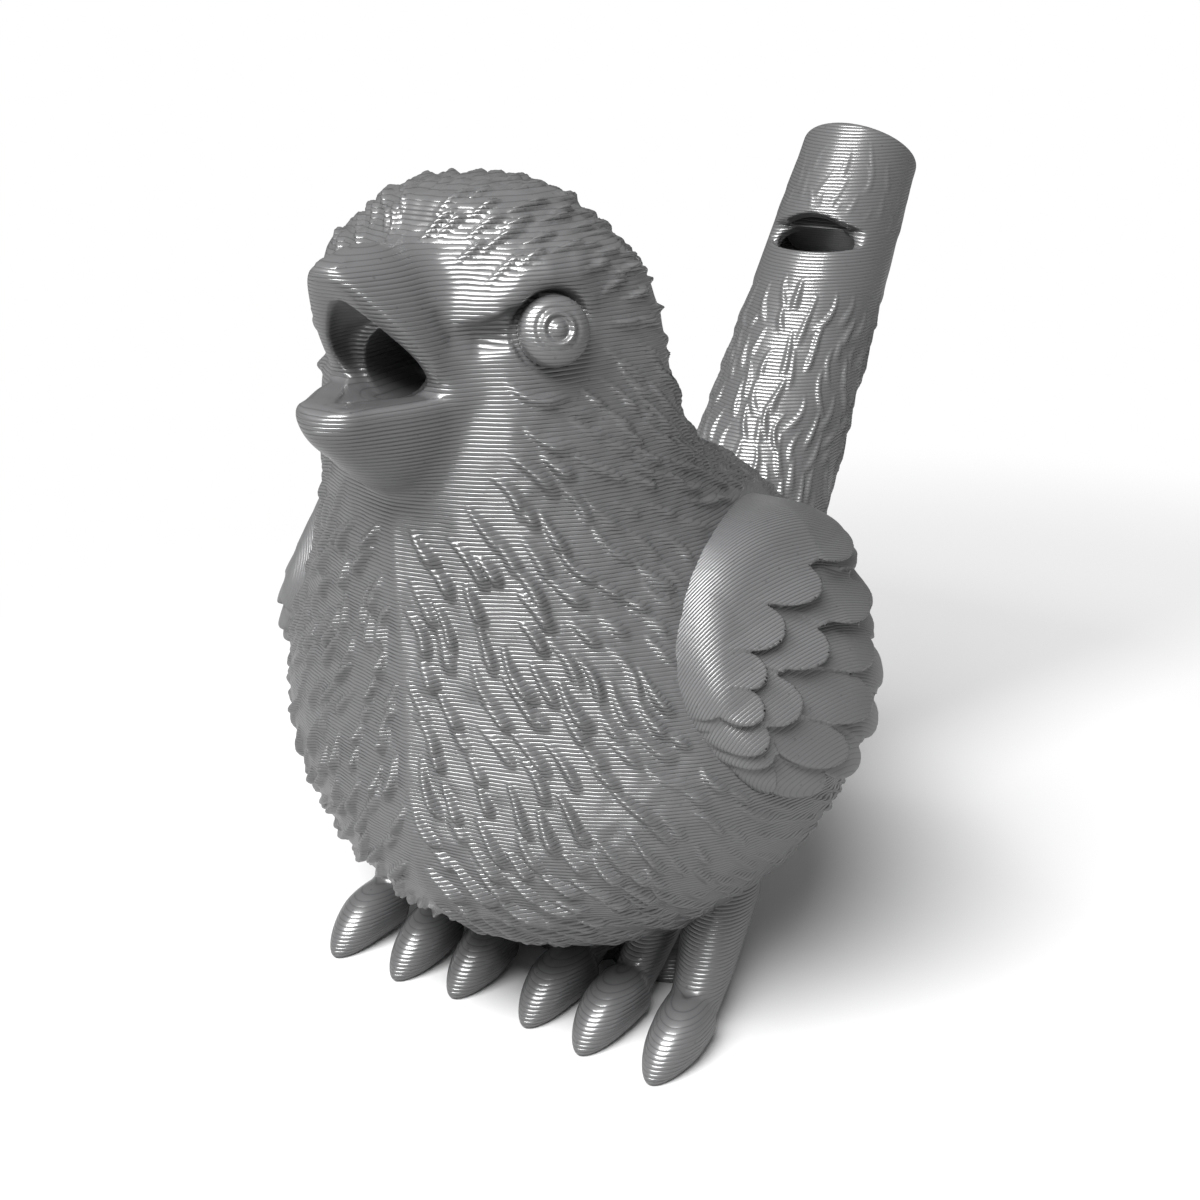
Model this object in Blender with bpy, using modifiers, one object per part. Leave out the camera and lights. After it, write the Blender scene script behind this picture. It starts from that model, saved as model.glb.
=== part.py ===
"""Water bird whistle: a hollow singing chick whose tail is a pipe with a fipple.

The bird faces -Y, its left side is +X and it stands on z = 0. Sizes are in
millimetres and become metres where a mesh is made.
"""
import math

import bmesh
import bpy
from mathutils import Matrix, Vector

MM = 0.001

# Fits shared by all pieces
CLEARANCE = 0.3
SEAM_GAP = 0.3
WALL = 1.8
HOLE_REACH = 4.5
OVERCUT = 2.0

# Body outline: height, front, widest place, back, half width
BODY_STATIONS = [
    (0.0, 10.0, 17.0, 26.0, 6.5),
    (2.5, 9.0, 17.0, 26.2, 7.6),
    (5.0, 6.4, 16.7, 27.0, 10.0),
    (8.0, 0.6, 14.5, 28.4, 13.6),
    (12.0, -4.6, 12.7, 30.3, 17.5),
    (16.0, -7.1, 11.9, 32.1, 20.6),
    (20.0, -7.9, 11.6, 33.8, 22.8),
    (24.0, -8.0, 11.7, 35.0, 23.9),
    (28.0, -7.9, 11.8, 35.6, 23.6),
    (32.0, -7.9, 11.5, 35.1, 22.1),
    (36.0, -8.0, 10.6, 33.1, 19.5),
    (40.0, -8.3, 9.1, 28.9, 16.8),
    (44.0, -8.3, 7.2, 21.8, 14.8),
    (48.0, -8.3, 5.3, 14.1, 13.8),
    (52.0, -8.4, 4.1, 10.0, 13.6),
    (56.0, -8.2, 3.6, 9.6, 13.2),
    (60.0, -7.0, 3.2, 9.4, 11.2),
    (63.0, -5.0, 2.5, 7.5, 7.8),
    (65.0, -2.3, 1.8, 4.5, 4.0),
    (65.8, -0.2, 1.2, 2.4, 1.3),
]
BODY_SIDES = 36

# Upper beak: place, ridge height, edge height, half width
UPPER_BEAK_STATIONS = [
    (-5.0, 62.0, 53.5, 6.0),
    (-8.0, 62.6, 53.5, 5.3),
    (-10.0, 62.6, 56.0, 4.2),
    (-12.0, 62.3, 58.6, 2.8),
    (-13.3, 61.8, 60.2, 1.6),
    (-14.0, 61.3, 60.9, 0.8),
]
# Lower beak: place, rim height, underside height, half width
LOWER_BEAK_STATIONS = [
    (-5.0, 53.2, 44.8, 6.2),
    (-8.0, 53.2, 45.8, 5.4),
    (-10.5, 53.2, 47.2, 4.3),
    (-13.0, 53.2, 49.2, 3.1),
    (-15.0, 53.1, 51.3, 1.8),
    (-15.9, 52.8, 52.2, 0.8),
]
BEAK_SIDES = 12
BEAK_PEG_RADIUS = 1.2
BEAK_PEG_INNER_END = -5.0
UPPER_BEAK_PEG_DROP = 2.0
LOWER_BEAK_PEG_DROP = 4.8
THROAT_RADIUS = 3.2
THROAT_RISE = 1.6
MOUTH_FLOOR_DEPTH = 1.6
MOUTH_FLOOR_SHARE = 0.72
MOUTH_FRONT_RADIUS = 4.3
MOUTH_FRONT_RISE = 1.4

# Eyes, placed by height and by the angle round from the beak
EYE_HEIGHT = 57.3
EYE_TURN = math.radians(51)
EYE_LIFT = math.radians(18)
EYE_SEAT_DEPTH = 0.8
EYE_PEG_RADIUS = 0.9
EYE_PEG_LENGTH = 2.0

# Eye from the pupil outward: radius and height above the head
EYE_PROFILE = [
    (0.0, 1.6),
    (0.68, 1.6),
    (0.85, 1.45),
    (0.95, 1.2),
    (1.35, 1.25),
    (1.55, 1.5),
    (1.9, 1.35),
    (2.2, 0.8),
    (2.25, 0.4),
]

# Wing pad: outline in the side view as place and height
WING_THICKNESS = 3.0
WING_OUTLINE = [
    (-2.2, 34.0),
    (-1.0, 38.0),
    (2.6, 42.6),
    (8.0, 44.2),
    (14.0, 42.6),
    (19.0, 40.2),
    (22.4, 36.6),
    (21.6, 31.6),
    (19.0, 27.0),
    (14.5, 23.0),
    (7.5, 23.0),
    (1.2, 25.6),
    (-1.6, 29.4),
]
WING_PEG_PLACES = [(4.0, 36.0), (13.0, 31.0)]
WING_PEG_RADIUS = 1.2
WING_PEG_INNER_LENGTH = 3.2

# Feet: each toe as distance from the middle, place of its tip and height of its knuckle
TOES = [
    (3.6, 0.0, 3.4),
    (9.1, -0.6, 3.8),
    (15.5, -0.7, 4.4),
]
CLAW_LENGTH = 7.2
CLAW_RADIUS = 2.15
SOLE_CUT = 0.25
CLAW_REST = CLAW_RADIUS - SOLE_CUT
# Claw from tip to root as shares of its length, of its height at rest and of its radius
CLAW_SHARES = [
    (0.02, 0.26, 0.3),
    (0.12, 0.47, 0.5),
    (0.35, 0.76, 0.78),
    (0.65, 1.0, 0.96),
    (1.0, 1.05, 1.0),
]
# Toe behind the claw: ways back from the claw root, radii, and its climb to the belly
COLLAR_STEP = 0.35
TOE_RADIUS = 1.75
TOE_KNUCKLE_BACK = 2.4
TOE_KNUCKLE_RADIUS = 1.84
TOE_BACK = 6.0
TOE_BACK_RADIUS = 2.28
TOE_BACK_SPLAY = 0.95
TOE_RISE = 5.4
PAD_PLACE = (9.6, 11.4)
PAD_HALF_WIDTH = 8.4
PAD_HALF_LENGTH = 6.0
PAD_HEIGHT = 4.6
FOOT_PEG_RADIUS = 1.3
FOOT_PEG_PLACE = (10.6, 13.5)
FOOT_PEG_TOP = 11.0

# Tail pipe, leaning back about a point on its axis
PIPE_LEAN = math.radians(34.5)
PIPE_ANCHOR_Y = 49.6
PIPE_ANCHOR_Z = 40.0
PIPE_TOP = 26.0
PIPE_BOTTOM = -21.0
PIPE_TOP_RADIUS = 5.6
PIPE_BOTTOM_RADIUS = 7.5
PIPE_BORE_RADIUS = 4.8
WINDOW_TOP = 15.9
WINDOW_LENGTH = 4.3
WINDOW_LIP = 1.2
WINDOW_DEPTH = 2.9
WINDOW_REACH = 11.0
WINDWAY_HEIGHT = 1.2

# Tail root, the socket that holds the pipe
SOCKET_TOP = -12.5
SOCKET_WALL = 1.6
SOCKET_TAPER_START = -23.0
SOCKET_TAPER_RADIUS = 8.95
SOCKET_MIDDLE = -28.0
SOCKET_MIDDLE_RADIUS = 7.0
SOCKET_END = -33.0
SOCKET_END_RADIUS = 3.0
PASSAGE_RADIUS = 4.6
PASSAGE_LENGTH = 8.0

# Bosses and pins that line up the two body halves: place and height
BOSS_PLACES = [(-5.3, 30.0), (17.0, 3.2), (1.4, 62.4), (24.6, 39.6)]
BOSS_RADIUS = 2.2
BOSS_REACH = 4.0
PIN_RADIUS = 1.0
PIN_LENGTH = 2.6

REACH = 90.0
GREY = (0.205, 0.205, 0.210, 1.0)


# Places and sizes worked out from the driving sizes
EYE_RADIUS = EYE_PROFILE[-1][0]
UPPER_BEAK_PEG_HEIGHT = UPPER_BEAK_STATIONS[0][1] - UPPER_BEAK_PEG_DROP
LOWER_BEAK_PEG_HEIGHT = LOWER_BEAK_STATIONS[0][1] - LOWER_BEAK_PEG_DROP
THROAT_HEIGHT = LOWER_BEAK_STATIONS[0][1] + THROAT_RISE
MOUTH_FRONT_HEIGHT = THROAT_HEIGHT + MOUTH_FRONT_RISE
PIPE_AXIS = Vector((0.0, math.sin(PIPE_LEAN), math.cos(PIPE_LEAN)))
PIPE_ANCHOR = Vector((0.0, PIPE_ANCHOR_Y, PIPE_ANCHOR_Z))
PIPE_REAR_Y = (PIPE_ANCHOR + PIPE_AXIS * PIPE_TOP).y + PIPE_TOP_RADIUS * math.cos(PIPE_LEAN)
MIDDLE_Y = (PIPE_REAR_Y + LOWER_BEAK_STATIONS[-1][0]) / 2


def clear_scene():
    for old in list(bpy.data.objects):
        bpy.data.objects.remove(old, do_unlink=True)


def new_collection(name):
    group = bpy.data.collections.new(name)
    bpy.context.scene.collection.children.link(group)
    return group


def make_object(name, mesh, group, parent):
    thing = bpy.data.objects.new(name, mesh)
    group.objects.link(thing)
    thing.parent = parent
    return thing


def mesh_from_bmesh(name, bm):
    bmesh.ops.recalc_face_normals(bm, faces=bm.faces)
    mesh = bpy.data.meshes.new(name)
    bm.to_mesh(mesh)
    bm.free()
    return mesh


def smooth_value(stations, column, place):
    """Read one column of an outline at any place, on a curve through its points."""
    rising = stations[0][0] < stations[-1][0]
    points = stations if rising else stations[::-1]
    place = min(max(place, points[0][0]), points[-1][0])
    index = 0
    while index < len(points) - 2 and place > points[index + 1][0]:
        index += 1
    here = points[index]
    after = points[index + 1]
    span = after[0] - here[0]
    share = (place - here[0]) / span
    slopes = []
    for middle in (index, index + 1):
        low = points[max(middle - 1, 0)]
        high = points[min(middle + 1, len(points) - 1)]
        slopes.append((high[column] - low[column]) / (high[0] - low[0]) * span)
    square = share * share
    cube = square * share
    return (
        (2 * cube - 3 * square + 1) * here[column]
        + (cube - 2 * square + share) * slopes[0]
        + (3 * square - 2 * cube) * after[column]
        + (cube - square) * slopes[1]
    )


def body_point(height, angle):
    """Point of the body outline; angle 0 is the beak side and 90 degrees is +X."""
    front = smooth_value(BODY_STATIONS, 1, height)
    widest = smooth_value(BODY_STATIONS, 2, height)
    back = smooth_value(BODY_STATIONS, 3, height)
    half = smooth_value(BODY_STATIONS, 4, height)
    depth = widest - front if math.cos(angle) > 0 else back - widest
    return Vector((half * math.sin(angle), widest - depth * math.cos(angle), height))


def loft(name, rings):
    """Skin a row of rings that have the same number of points, and close the ends."""
    bm = bmesh.new()
    rows = [[bm.verts.new(point * MM) for point in ring] for ring in rings]
    count = len(rows[0])
    for lower, upper in zip(rows, rows[1:]):
        for side in range(count):
            beside = (side + 1) % count
            bm.faces.new((lower[side], lower[beside], upper[beside], upper[side]))
    bm.faces.new(rows[0][::-1])
    bm.faces.new(rows[-1])
    return mesh_from_bmesh(name, bm)


def body_mesh(name):
    step = 2 * math.pi / BODY_SIDES
    heights = [station[0] for station in BODY_STATIONS]
    return loft(name, [[body_point(z, step * k) for k in range(BODY_SIDES)] for z in heights])


def beak_mesh(name, stations):
    """Half-round sections, arched from the edge or rim to the ridge or underside."""
    rings = []
    for y, crest, edge, half in stations:
        ring = []
        for k in range(BEAK_SIDES + 1):
            angle = math.pi * k / BEAK_SIDES
            ring.append(Vector((half * math.cos(angle), y, edge + (crest - edge) * math.sin(angle))))
        rings.append(ring)
    return loft(name, rings)


def cylinder_mesh(name, start, end, start_radius, end_radius=None, sides=24):
    """Round bar between two points."""
    start = Vector(start)
    end = Vector(end)
    run = end - start
    bm = bmesh.new()
    bmesh.ops.create_cone(
        bm,
        cap_ends=True,
        segments=sides,
        radius1=start_radius * MM,
        radius2=(start_radius if end_radius is None else end_radius) * MM,
        depth=run.length * MM,
    )
    turn = run.to_track_quat("Z", "Y").to_matrix().to_4x4()
    place = Matrix.Translation((start + end) / 2 * MM)
    bmesh.ops.transform(bm, matrix=place @ turn, verts=bm.verts)
    return mesh_from_bmesh(name, bm)


def box_mesh(name, low, high):
    low = Vector(low)
    high = Vector(high)
    bm = bmesh.new()
    bmesh.ops.create_cube(bm, size=1.0)
    bmesh.ops.scale(bm, vec=(high - low) * MM, verts=bm.verts)
    bmesh.ops.translate(bm, vec=(low + high) / 2 * MM, verts=bm.verts)
    return mesh_from_bmesh(name, bm)


def ellipsoid_mesh(name, centre, radii):
    bm = bmesh.new()
    bmesh.ops.create_uvsphere(bm, u_segments=20, v_segments=12, radius=1.0)
    bmesh.ops.scale(bm, vec=Vector(radii) * MM, verts=bm.verts)
    bmesh.ops.translate(bm, vec=Vector(centre) * MM, verts=bm.verts)
    return mesh_from_bmesh(name, bm)


def turned_mesh(name, profile, steps=28):
    """Turn a profile of radius and height about Z, from the top of the piece down."""
    bm = bmesh.new()
    points = [bm.verts.new((radius * MM, 0, height * MM)) for radius, height in profile]
    for upper, lower in zip(points, points[1:]):
        bm.edges.new((upper, lower))
    mesh = bpy.data.meshes.new(name + "_profile")
    bm.to_mesh(mesh)
    bm.free()
    holder = bpy.data.objects.new(name + "_profile", mesh)
    bpy.context.scene.collection.objects.link(holder)
    screw = holder.modifiers.new("turn", "SCREW")
    screw.steps = steps
    screw.render_steps = steps
    screw.use_merge_vertices = True
    screw.merge_threshold = 0.00001
    bpy.context.view_layer.update()
    seen = holder.evaluated_get(bpy.context.evaluated_depsgraph_get())
    turned = bpy.data.meshes.new_from_object(seen)
    turned.name = name
    bpy.data.objects.remove(holder, do_unlink=True)
    bm = bmesh.new()
    bm.from_mesh(turned)
    bmesh.ops.remove_doubles(bm, verts=bm.verts, dist=0.00001)
    bmesh.ops.recalc_face_normals(bm, faces=bm.faces)
    bm.to_mesh(turned)
    bm.free()
    return turned


def curve_mesh(name, spline_points, closed=False, depth=0.0, extrude=0.0):
    """Mesh of a bevelled 3D curve, or of a filled flat outline that is extruded."""
    curve = bpy.data.curves.new(name + "_curve", "CURVE")
    curve.dimensions = "2D" if extrude else "3D"
    curve.render_resolution_u = 0
    if extrude:
        curve.fill_mode = "BOTH"
        curve.extrude = extrude * MM
        curve.resolution_u = 3
        spline = curve.splines.new("BEZIER")
        spline.bezier_points.add(len(spline_points) - 1)
        for knot, (x, y) in zip(spline.bezier_points, spline_points):
            knot.co = Vector((x, y, 0)) * MM
            knot.handle_left_type = "AUTO"
            knot.handle_right_type = "AUTO"
    else:
        curve.bevel_depth = depth * MM
        curve.bevel_resolution = 3
        curve.use_fill_caps = True
        spline = curve.splines.new("POLY")
        spline.points.add(len(spline_points) - 1)
        for knot, (place, radius) in zip(spline.points, spline_points):
            knot.co = (*(place * MM), 1.0)
            knot.radius = radius / depth
    spline.use_cyclic_u = closed
    holder = bpy.data.objects.new(name + "_curve", curve)
    bpy.context.scene.collection.objects.link(holder)
    bpy.context.view_layer.update()
    seen = holder.evaluated_get(bpy.context.evaluated_depsgraph_get())
    mesh = bpy.data.meshes.new_from_object(seen)
    mesh.name = name
    bpy.data.objects.remove(holder, do_unlink=True)
    bm = bmesh.new()
    bm.from_mesh(mesh)
    bmesh.ops.remove_doubles(bm, verts=bm.verts, dist=0.00001)
    bmesh.ops.recalc_face_normals(bm, faces=bm.faces)
    bm.to_mesh(mesh)
    bm.free()
    return mesh


class Whistle:
    """Holds the collections, the frame empty and the shared cutters."""

    def __init__(self):
        self.parts = new_collection("bird_whistle")
        self.cutters = new_collection("cutters")
        self.frame = bpy.data.objects.new("whistle_frame", None)
        self.parts.objects.link(self.frame)
        self.frame.location = (0, -MIDDLE_Y * MM, 0)
        self.shared = {}

    def material(self, name, roughness):
        mat = bpy.data.materials.new(name)
        mat.use_nodes = True
        shader = mat.node_tree.nodes["Principled BSDF"]
        shader.inputs["Base Color"].default_value = GREY
        shader.inputs["Roughness"].default_value = roughness
        shader.inputs["Metallic"].default_value = 0.0
        mat.diffuse_color = GREY
        return mat

    def part(self, name, mesh, roughness=0.4):
        thing = make_object(name, mesh, self.parts, self.frame)
        mesh.materials.clear()
        mesh.materials.append(self.material(name + "_plastic", roughness))
        return thing

    def cutter(self, name, mesh):
        thing = make_object(name, mesh, self.cutters, self.frame)
        thing.hide_render = True
        thing.display_type = "WIRE"
        self.shared[name] = thing
        return thing

    def offset_body(self, name, offset):
        thing = self.cutter(name, body_mesh(name))
        swell = thing.modifiers.new("offset", "DISPLACE")
        swell.direction = "NORMAL"
        swell.mid_level = 0.0
        swell.strength = offset * MM
        return thing


def combine(thing, other, operation):
    step = thing.modifiers.new(other.name, "BOOLEAN")
    step.operation = operation
    step.solver = "EXACT"
    step.object = other


def on_pipe(distance, sideways=0.0):
    """Point on the pipe axis, or moved from it toward the bird's front."""
    return PIPE_ANCHOR + PIPE_AXIS * distance + Vector((0, -PIPE_AXIS.z, PIPE_AXIS.y)) * sideways


def pipe_radius(distance):
    share = (distance - PIPE_BOTTOM) / (PIPE_TOP - PIPE_BOTTOM)
    return PIPE_BOTTOM_RADIUS + (PIPE_TOP_RADIUS - PIPE_BOTTOM_RADIUS) * share


def eye_frame(side):
    """Place and axis of an eye, seated on the head surface."""
    seat = body_point(EYE_HEIGHT, EYE_TURN)
    axis = Vector((math.sin(EYE_TURN), -math.cos(EYE_TURN), math.tan(EYE_LIFT))).normalized()
    if side < 0:
        seat.x = -seat.x
        axis.x = -axis.x
    return seat, axis


def shared_cutters(whistle):
    whistle.offset_body("body_cavity", -WALL)
    whistle.offset_body("body_clear", CLEARANCE)
    half_gap = SEAM_GAP / 2
    low = (-REACH, -REACH, -REACH)
    whistle.cutter("not_left", box_mesh("not_left", low, (half_gap, REACH, REACH)))
    whistle.cutter("not_right", box_mesh("not_right", (-half_gap, -REACH, -REACH), (REACH, REACH, REACH)))
    whistle.cutter("ground", box_mesh("ground", low, (REACH, REACH, 0)))
    socket_radius = pipe_radius(SOCKET_TOP) + CLEARANCE + SOCKET_WALL
    waist = pipe_radius(PIPE_BOTTOM) + CLEARANCE + SOCKET_WALL
    root = turned_mesh("tail_root", [
        (0.0, SOCKET_TOP),
        (socket_radius, SOCKET_TOP),
        (waist, PIPE_BOTTOM),
        (SOCKET_TAPER_RADIUS, SOCKET_TAPER_START),
        (SOCKET_MIDDLE_RADIUS, SOCKET_MIDDLE),
        (SOCKET_END_RADIUS, SOCKET_END),
        (0.0, SOCKET_END),
    ])
    root.transform(Matrix.Translation(PIPE_ANCHOR * MM) @ Matrix.Rotation(-PIPE_LEAN, 4, "X"))
    whistle.cutter("tail_root", root)
    beyond = PIPE_TOP + WALL
    bottom = PIPE_BOTTOM - CLEARANCE
    whistle.cutter("pipe_seat", cylinder_mesh(
        "pipe_seat", on_pipe(bottom), on_pipe(beyond), pipe_radius(bottom) + CLEARANCE,
        pipe_radius(beyond) + CLEARANCE, sides=32))
    whistle.cutter("water_passage", cylinder_mesh(
        "water_passage", on_pipe(bottom - PASSAGE_LENGTH), on_pipe(PIPE_BOTTOM), PASSAGE_RADIUS))


def mouth_cutters(whistle):
    front = smooth_value(BODY_STATIONS, 1, THROAT_HEIGHT)
    whistle.cutter("throat", cylinder_mesh(
        "throat", (0, front - WALL, THROAT_HEIGHT), (0, front + HOLE_REACH, THROAT_HEIGHT),
        THROAT_RADIUS))
    tip = UPPER_BEAK_STATIONS[-1][0]
    whistle.cutter("mouth_vault", cylinder_mesh(
        "mouth_vault", (0, front + WALL, THROAT_HEIGHT), (0, tip - WALL, MOUTH_FRONT_HEIGHT),
        THROAT_RADIUS, MOUTH_FRONT_RADIUS))
    rim = LOWER_BEAK_STATIONS[0][1]
    reach = (front - LOWER_BEAK_STATIONS[-1][0]) * MOUTH_FLOOR_SHARE
    whistle.cutter("mouth_floor", ellipsoid_mesh(
        "mouth_floor", (0, front, rim + MOUTH_FLOOR_DEPTH),
        (THROAT_RADIUS, reach, MOUTH_FLOOR_DEPTH * 2)))


def peg_cutters(whistle):
    """Clear holes in the shells for every peg."""
    beak_pegs = (("upper_beak_hole", UPPER_BEAK_PEG_HEIGHT), ("lower_beak_hole", LOWER_BEAK_PEG_HEIGHT))
    for name, height in beak_pegs:
        front = smooth_value(BODY_STATIONS, 1, height)
        inner = (0, BEAK_PEG_INNER_END + CLEARANCE, height)
        whistle.cutter(name, cylinder_mesh(
            name, inner, (0, front - WALL, height), BEAK_PEG_RADIUS + CLEARANCE))
    for word, side in (("left", 1), ("right", -1)):
        seat, axis = eye_frame(side)
        name = "eye_seat_" + word
        whistle.cutter(name, cylinder_mesh(
            name, seat - axis * EYE_SEAT_DEPTH, seat + axis * EYE_RADIUS * 2, EYE_RADIUS + CLEARANCE))
        name = "eye_hole_" + word
        whistle.cutter(name, cylinder_mesh(
            name, seat - axis * HOLE_REACH, seat, EYE_PEG_RADIUS + CLEARANCE))
        for number, (y, z) in enumerate(WING_PEG_PLACES):
            surface = side_surface(y, z)
            name = "wing_hole_%s_%d" % (word, number)
            whistle.cutter(name, cylinder_mesh(
                name, (side * (surface - HOLE_REACH), y, z), (side * (surface + WALL), y, z),
                WING_PEG_RADIUS + CLEARANCE))
        x, y = FOOT_PEG_PLACE
        name = "foot_hole_" + word
        whistle.cutter(name, cylinder_mesh(
            name, (side * x, y, SOLE_CUT), (side * x, y, FOOT_PEG_TOP + CLEARANCE),
            FOOT_PEG_RADIUS + CLEARANCE))


def side_surface(y, height):
    """Distance of the body surface from the middle plane at one place."""
    front = smooth_value(BODY_STATIONS, 1, height)
    widest = smooth_value(BODY_STATIONS, 2, height)
    back = smooth_value(BODY_STATIONS, 3, height)
    half = smooth_value(BODY_STATIONS, 4, height)
    depth = widest - front if y < widest else back - widest
    share = min(abs(y - widest) / depth, 1.0)
    return half * math.sqrt(1 - share * share)


def body_half(whistle, word):
    """One hollow half of the body and head."""
    shell = whistle.part("body_shell_" + word, body_mesh("body_shell_" + word))
    shared = whistle.shared
    combine(shell, shared["tail_root"], "UNION")
    combine(shell, shared["body_cavity"], "DIFFERENCE")
    for name in ("pipe_seat", "water_passage", "throat", "upper_beak_hole", "lower_beak_hole"):
        combine(shell, shared[name], "DIFFERENCE")
    for name in ("eye_seat_", "eye_hole_", "foot_hole_"):
        combine(shell, shared[name + word], "DIFFERENCE")
    for number in range(len(WING_PEG_PLACES)):
        combine(shell, shared["wing_hole_%s_%d" % (word, number)], "DIFFERENCE")
    combine(shell, shared["not_" + word], "DIFFERENCE")
    if word == "left":
        combine(shell, shared["pins"], "UNION")
    else:
        combine(shell, shared["pin_holes"], "DIFFERENCE")


def joined_bars(name, bars):
    """Several separate bars as one cutter mesh."""
    bm = bmesh.new()
    for start, end, radius in bars:
        mesh = cylinder_mesh(name, start, end, radius, sides=16)
        bm.from_mesh(mesh)
        bpy.data.meshes.remove(mesh)
    return mesh_from_bmesh(name, bm)


def seam_cutters(whistle):
    inside = SEAM_GAP / 2 + BOSS_REACH / 2
    bosses = whistle.cutter("bosses", joined_bars("bosses", [
        ((-BOSS_REACH, y, z), (BOSS_REACH, y, z), BOSS_RADIUS) for y, z in BOSS_PLACES]))
    combine(whistle.shared["body_cavity"], bosses, "DIFFERENCE")
    whistle.cutter("pins", joined_bars("pins", [
        ((inside, y, z), (-PIN_LENGTH, y, z), PIN_RADIUS) for y, z in BOSS_PLACES]))
    whistle.cutter("pin_holes", joined_bars("pin_holes", [
        ((inside, y, z), (-PIN_LENGTH - CLEARANCE, y, z), PIN_RADIUS + CLEARANCE) for y, z in BOSS_PLACES]))


def beak(whistle, name, stations, peg_height, mouth_cut):
    piece = whistle.part(name, beak_mesh(name, stations), roughness=0.32)
    combine(piece, whistle.shared["body_clear"], "DIFFERENCE")
    front = smooth_value(BODY_STATIONS, 1, peg_height)
    peg = whistle.cutter(name + "_peg", cylinder_mesh(
        name + "_peg", (0, BEAK_PEG_INNER_END, peg_height), (0, front - WALL, peg_height), BEAK_PEG_RADIUS))
    combine(piece, peg, "UNION")
    combine(piece, whistle.shared[mouth_cut], "DIFFERENCE")


def eye(whistle, word, side):
    """Domed button with a ring and a raised pupil, on a short peg."""
    floor = -EYE_SEAT_DEPTH + CLEARANCE
    mesh = turned_mesh("eye_" + word, EYE_PROFILE + [
        (EYE_RADIUS, floor),
        (EYE_PEG_RADIUS, floor),
        (EYE_PEG_RADIUS, floor - EYE_PEG_LENGTH),
        (0.0, floor - EYE_PEG_LENGTH),
    ])
    seat, axis = eye_frame(side)
    thing = whistle.part("eye_" + word, mesh, roughness=0.28)
    thing.location = seat * MM
    thing.rotation_euler = axis.to_track_quat("Z", "Y").to_euler()
    mesh.shade_smooth()
    mesh.set_sharp_from_angle(angle=math.radians(40))


def wing(whistle, word, side):
    """Pad that follows the side of the body, with two pegs."""
    outline = curve_mesh("wing_outline_" + word, WING_OUTLINE, closed=True, extrude=REACH / 4)
    outline.transform(Matrix(((0, 0, side, 0), (1, 0, 0, 0), (0, 1, 0, 0), (0, 0, 0, 1))))
    outline.transform(Matrix.Translation((side * (REACH / 4 + WALL) * MM, 0, 0)))
    bm = bmesh.new()
    bm.from_mesh(outline)
    bmesh.ops.recalc_face_normals(bm, faces=bm.faces)
    bm.to_mesh(outline)
    bm.free()
    piece = whistle.part("wing_" + word, outline)
    name = "wing_skin_" + word
    whistle.offset_body(name, CLEARANCE + WING_THICKNESS)
    combine(piece, whistle.shared[name], "INTERSECT")
    combine(piece, whistle.shared["body_clear"], "DIFFERENCE")
    for number, (y, z) in enumerate(WING_PEG_PLACES):
        surface = side_surface(y, z)
        name = "wing_peg_%s_%d" % (word, number)
        peg = whistle.cutter(name, cylinder_mesh(
            name, (side * (surface - WING_PEG_INNER_LENGTH), y, z),
            (side * (surface + WING_THICKNESS / 2), y, z), WING_PEG_RADIUS, sides=16))
        combine(piece, peg, "UNION")


def toe_mesh(name, side, toe):
    """Pointed claw, a step at its root, and a toe that climbs back to the belly."""
    x, y, knuckle = toe
    root = y + CLAW_LENGTH
    collar = CLAW_REST + CLEARANCE
    points = []
    for along, rise, share in CLAW_SHARES:
        place = Vector((side * x, y + CLAW_LENGTH * along, CLAW_REST * rise))
        points.append((place, CLAW_RADIUS * share))
    points.append((Vector((side * x, root + COLLAR_STEP, collar)), TOE_RADIUS))
    points.append((Vector((side * x, root + TOE_KNUCKLE_BACK, knuckle)), TOE_KNUCKLE_RADIUS))
    back_x = side * x * TOE_BACK_SPLAY
    points.append((Vector((back_x, root + TOE_BACK, knuckle + TOE_RISE)), TOE_BACK_RADIUS))
    return curve_mesh(name, points, depth=CLAW_RADIUS)


def foot(whistle, word, side):
    """Three toes with claws on one pad under the belly, and a peg into the shell."""
    centre = (side * PAD_PLACE[0], PAD_PLACE[1], 0)
    pad = ellipsoid_mesh("foot_" + word, centre, (PAD_HALF_WIDTH, PAD_HALF_LENGTH, PAD_HEIGHT))
    piece = whistle.part("foot_" + word, pad, roughness=0.3)
    for number, toe in enumerate(TOES):
        name = "toe_%s_%d" % (word, number)
        combine(piece, whistle.cutter(name, toe_mesh(name, side, toe)), "UNION")
    combine(piece, whistle.shared["body_clear"], "DIFFERENCE")
    x, y = FOOT_PEG_PLACE
    name = "foot_peg_" + word
    peg = whistle.cutter(name, cylinder_mesh(
        name, (side * x, y, SOLE_CUT * 2), (side * x, y, FOOT_PEG_TOP), FOOT_PEG_RADIUS, sides=16))
    combine(piece, peg, "UNION")
    combine(piece, whistle.shared["ground"], "DIFFERENCE")


def pipe_frame():
    return PIPE_ANCHOR * MM, (-PIPE_LEAN, 0, 0)


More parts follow.
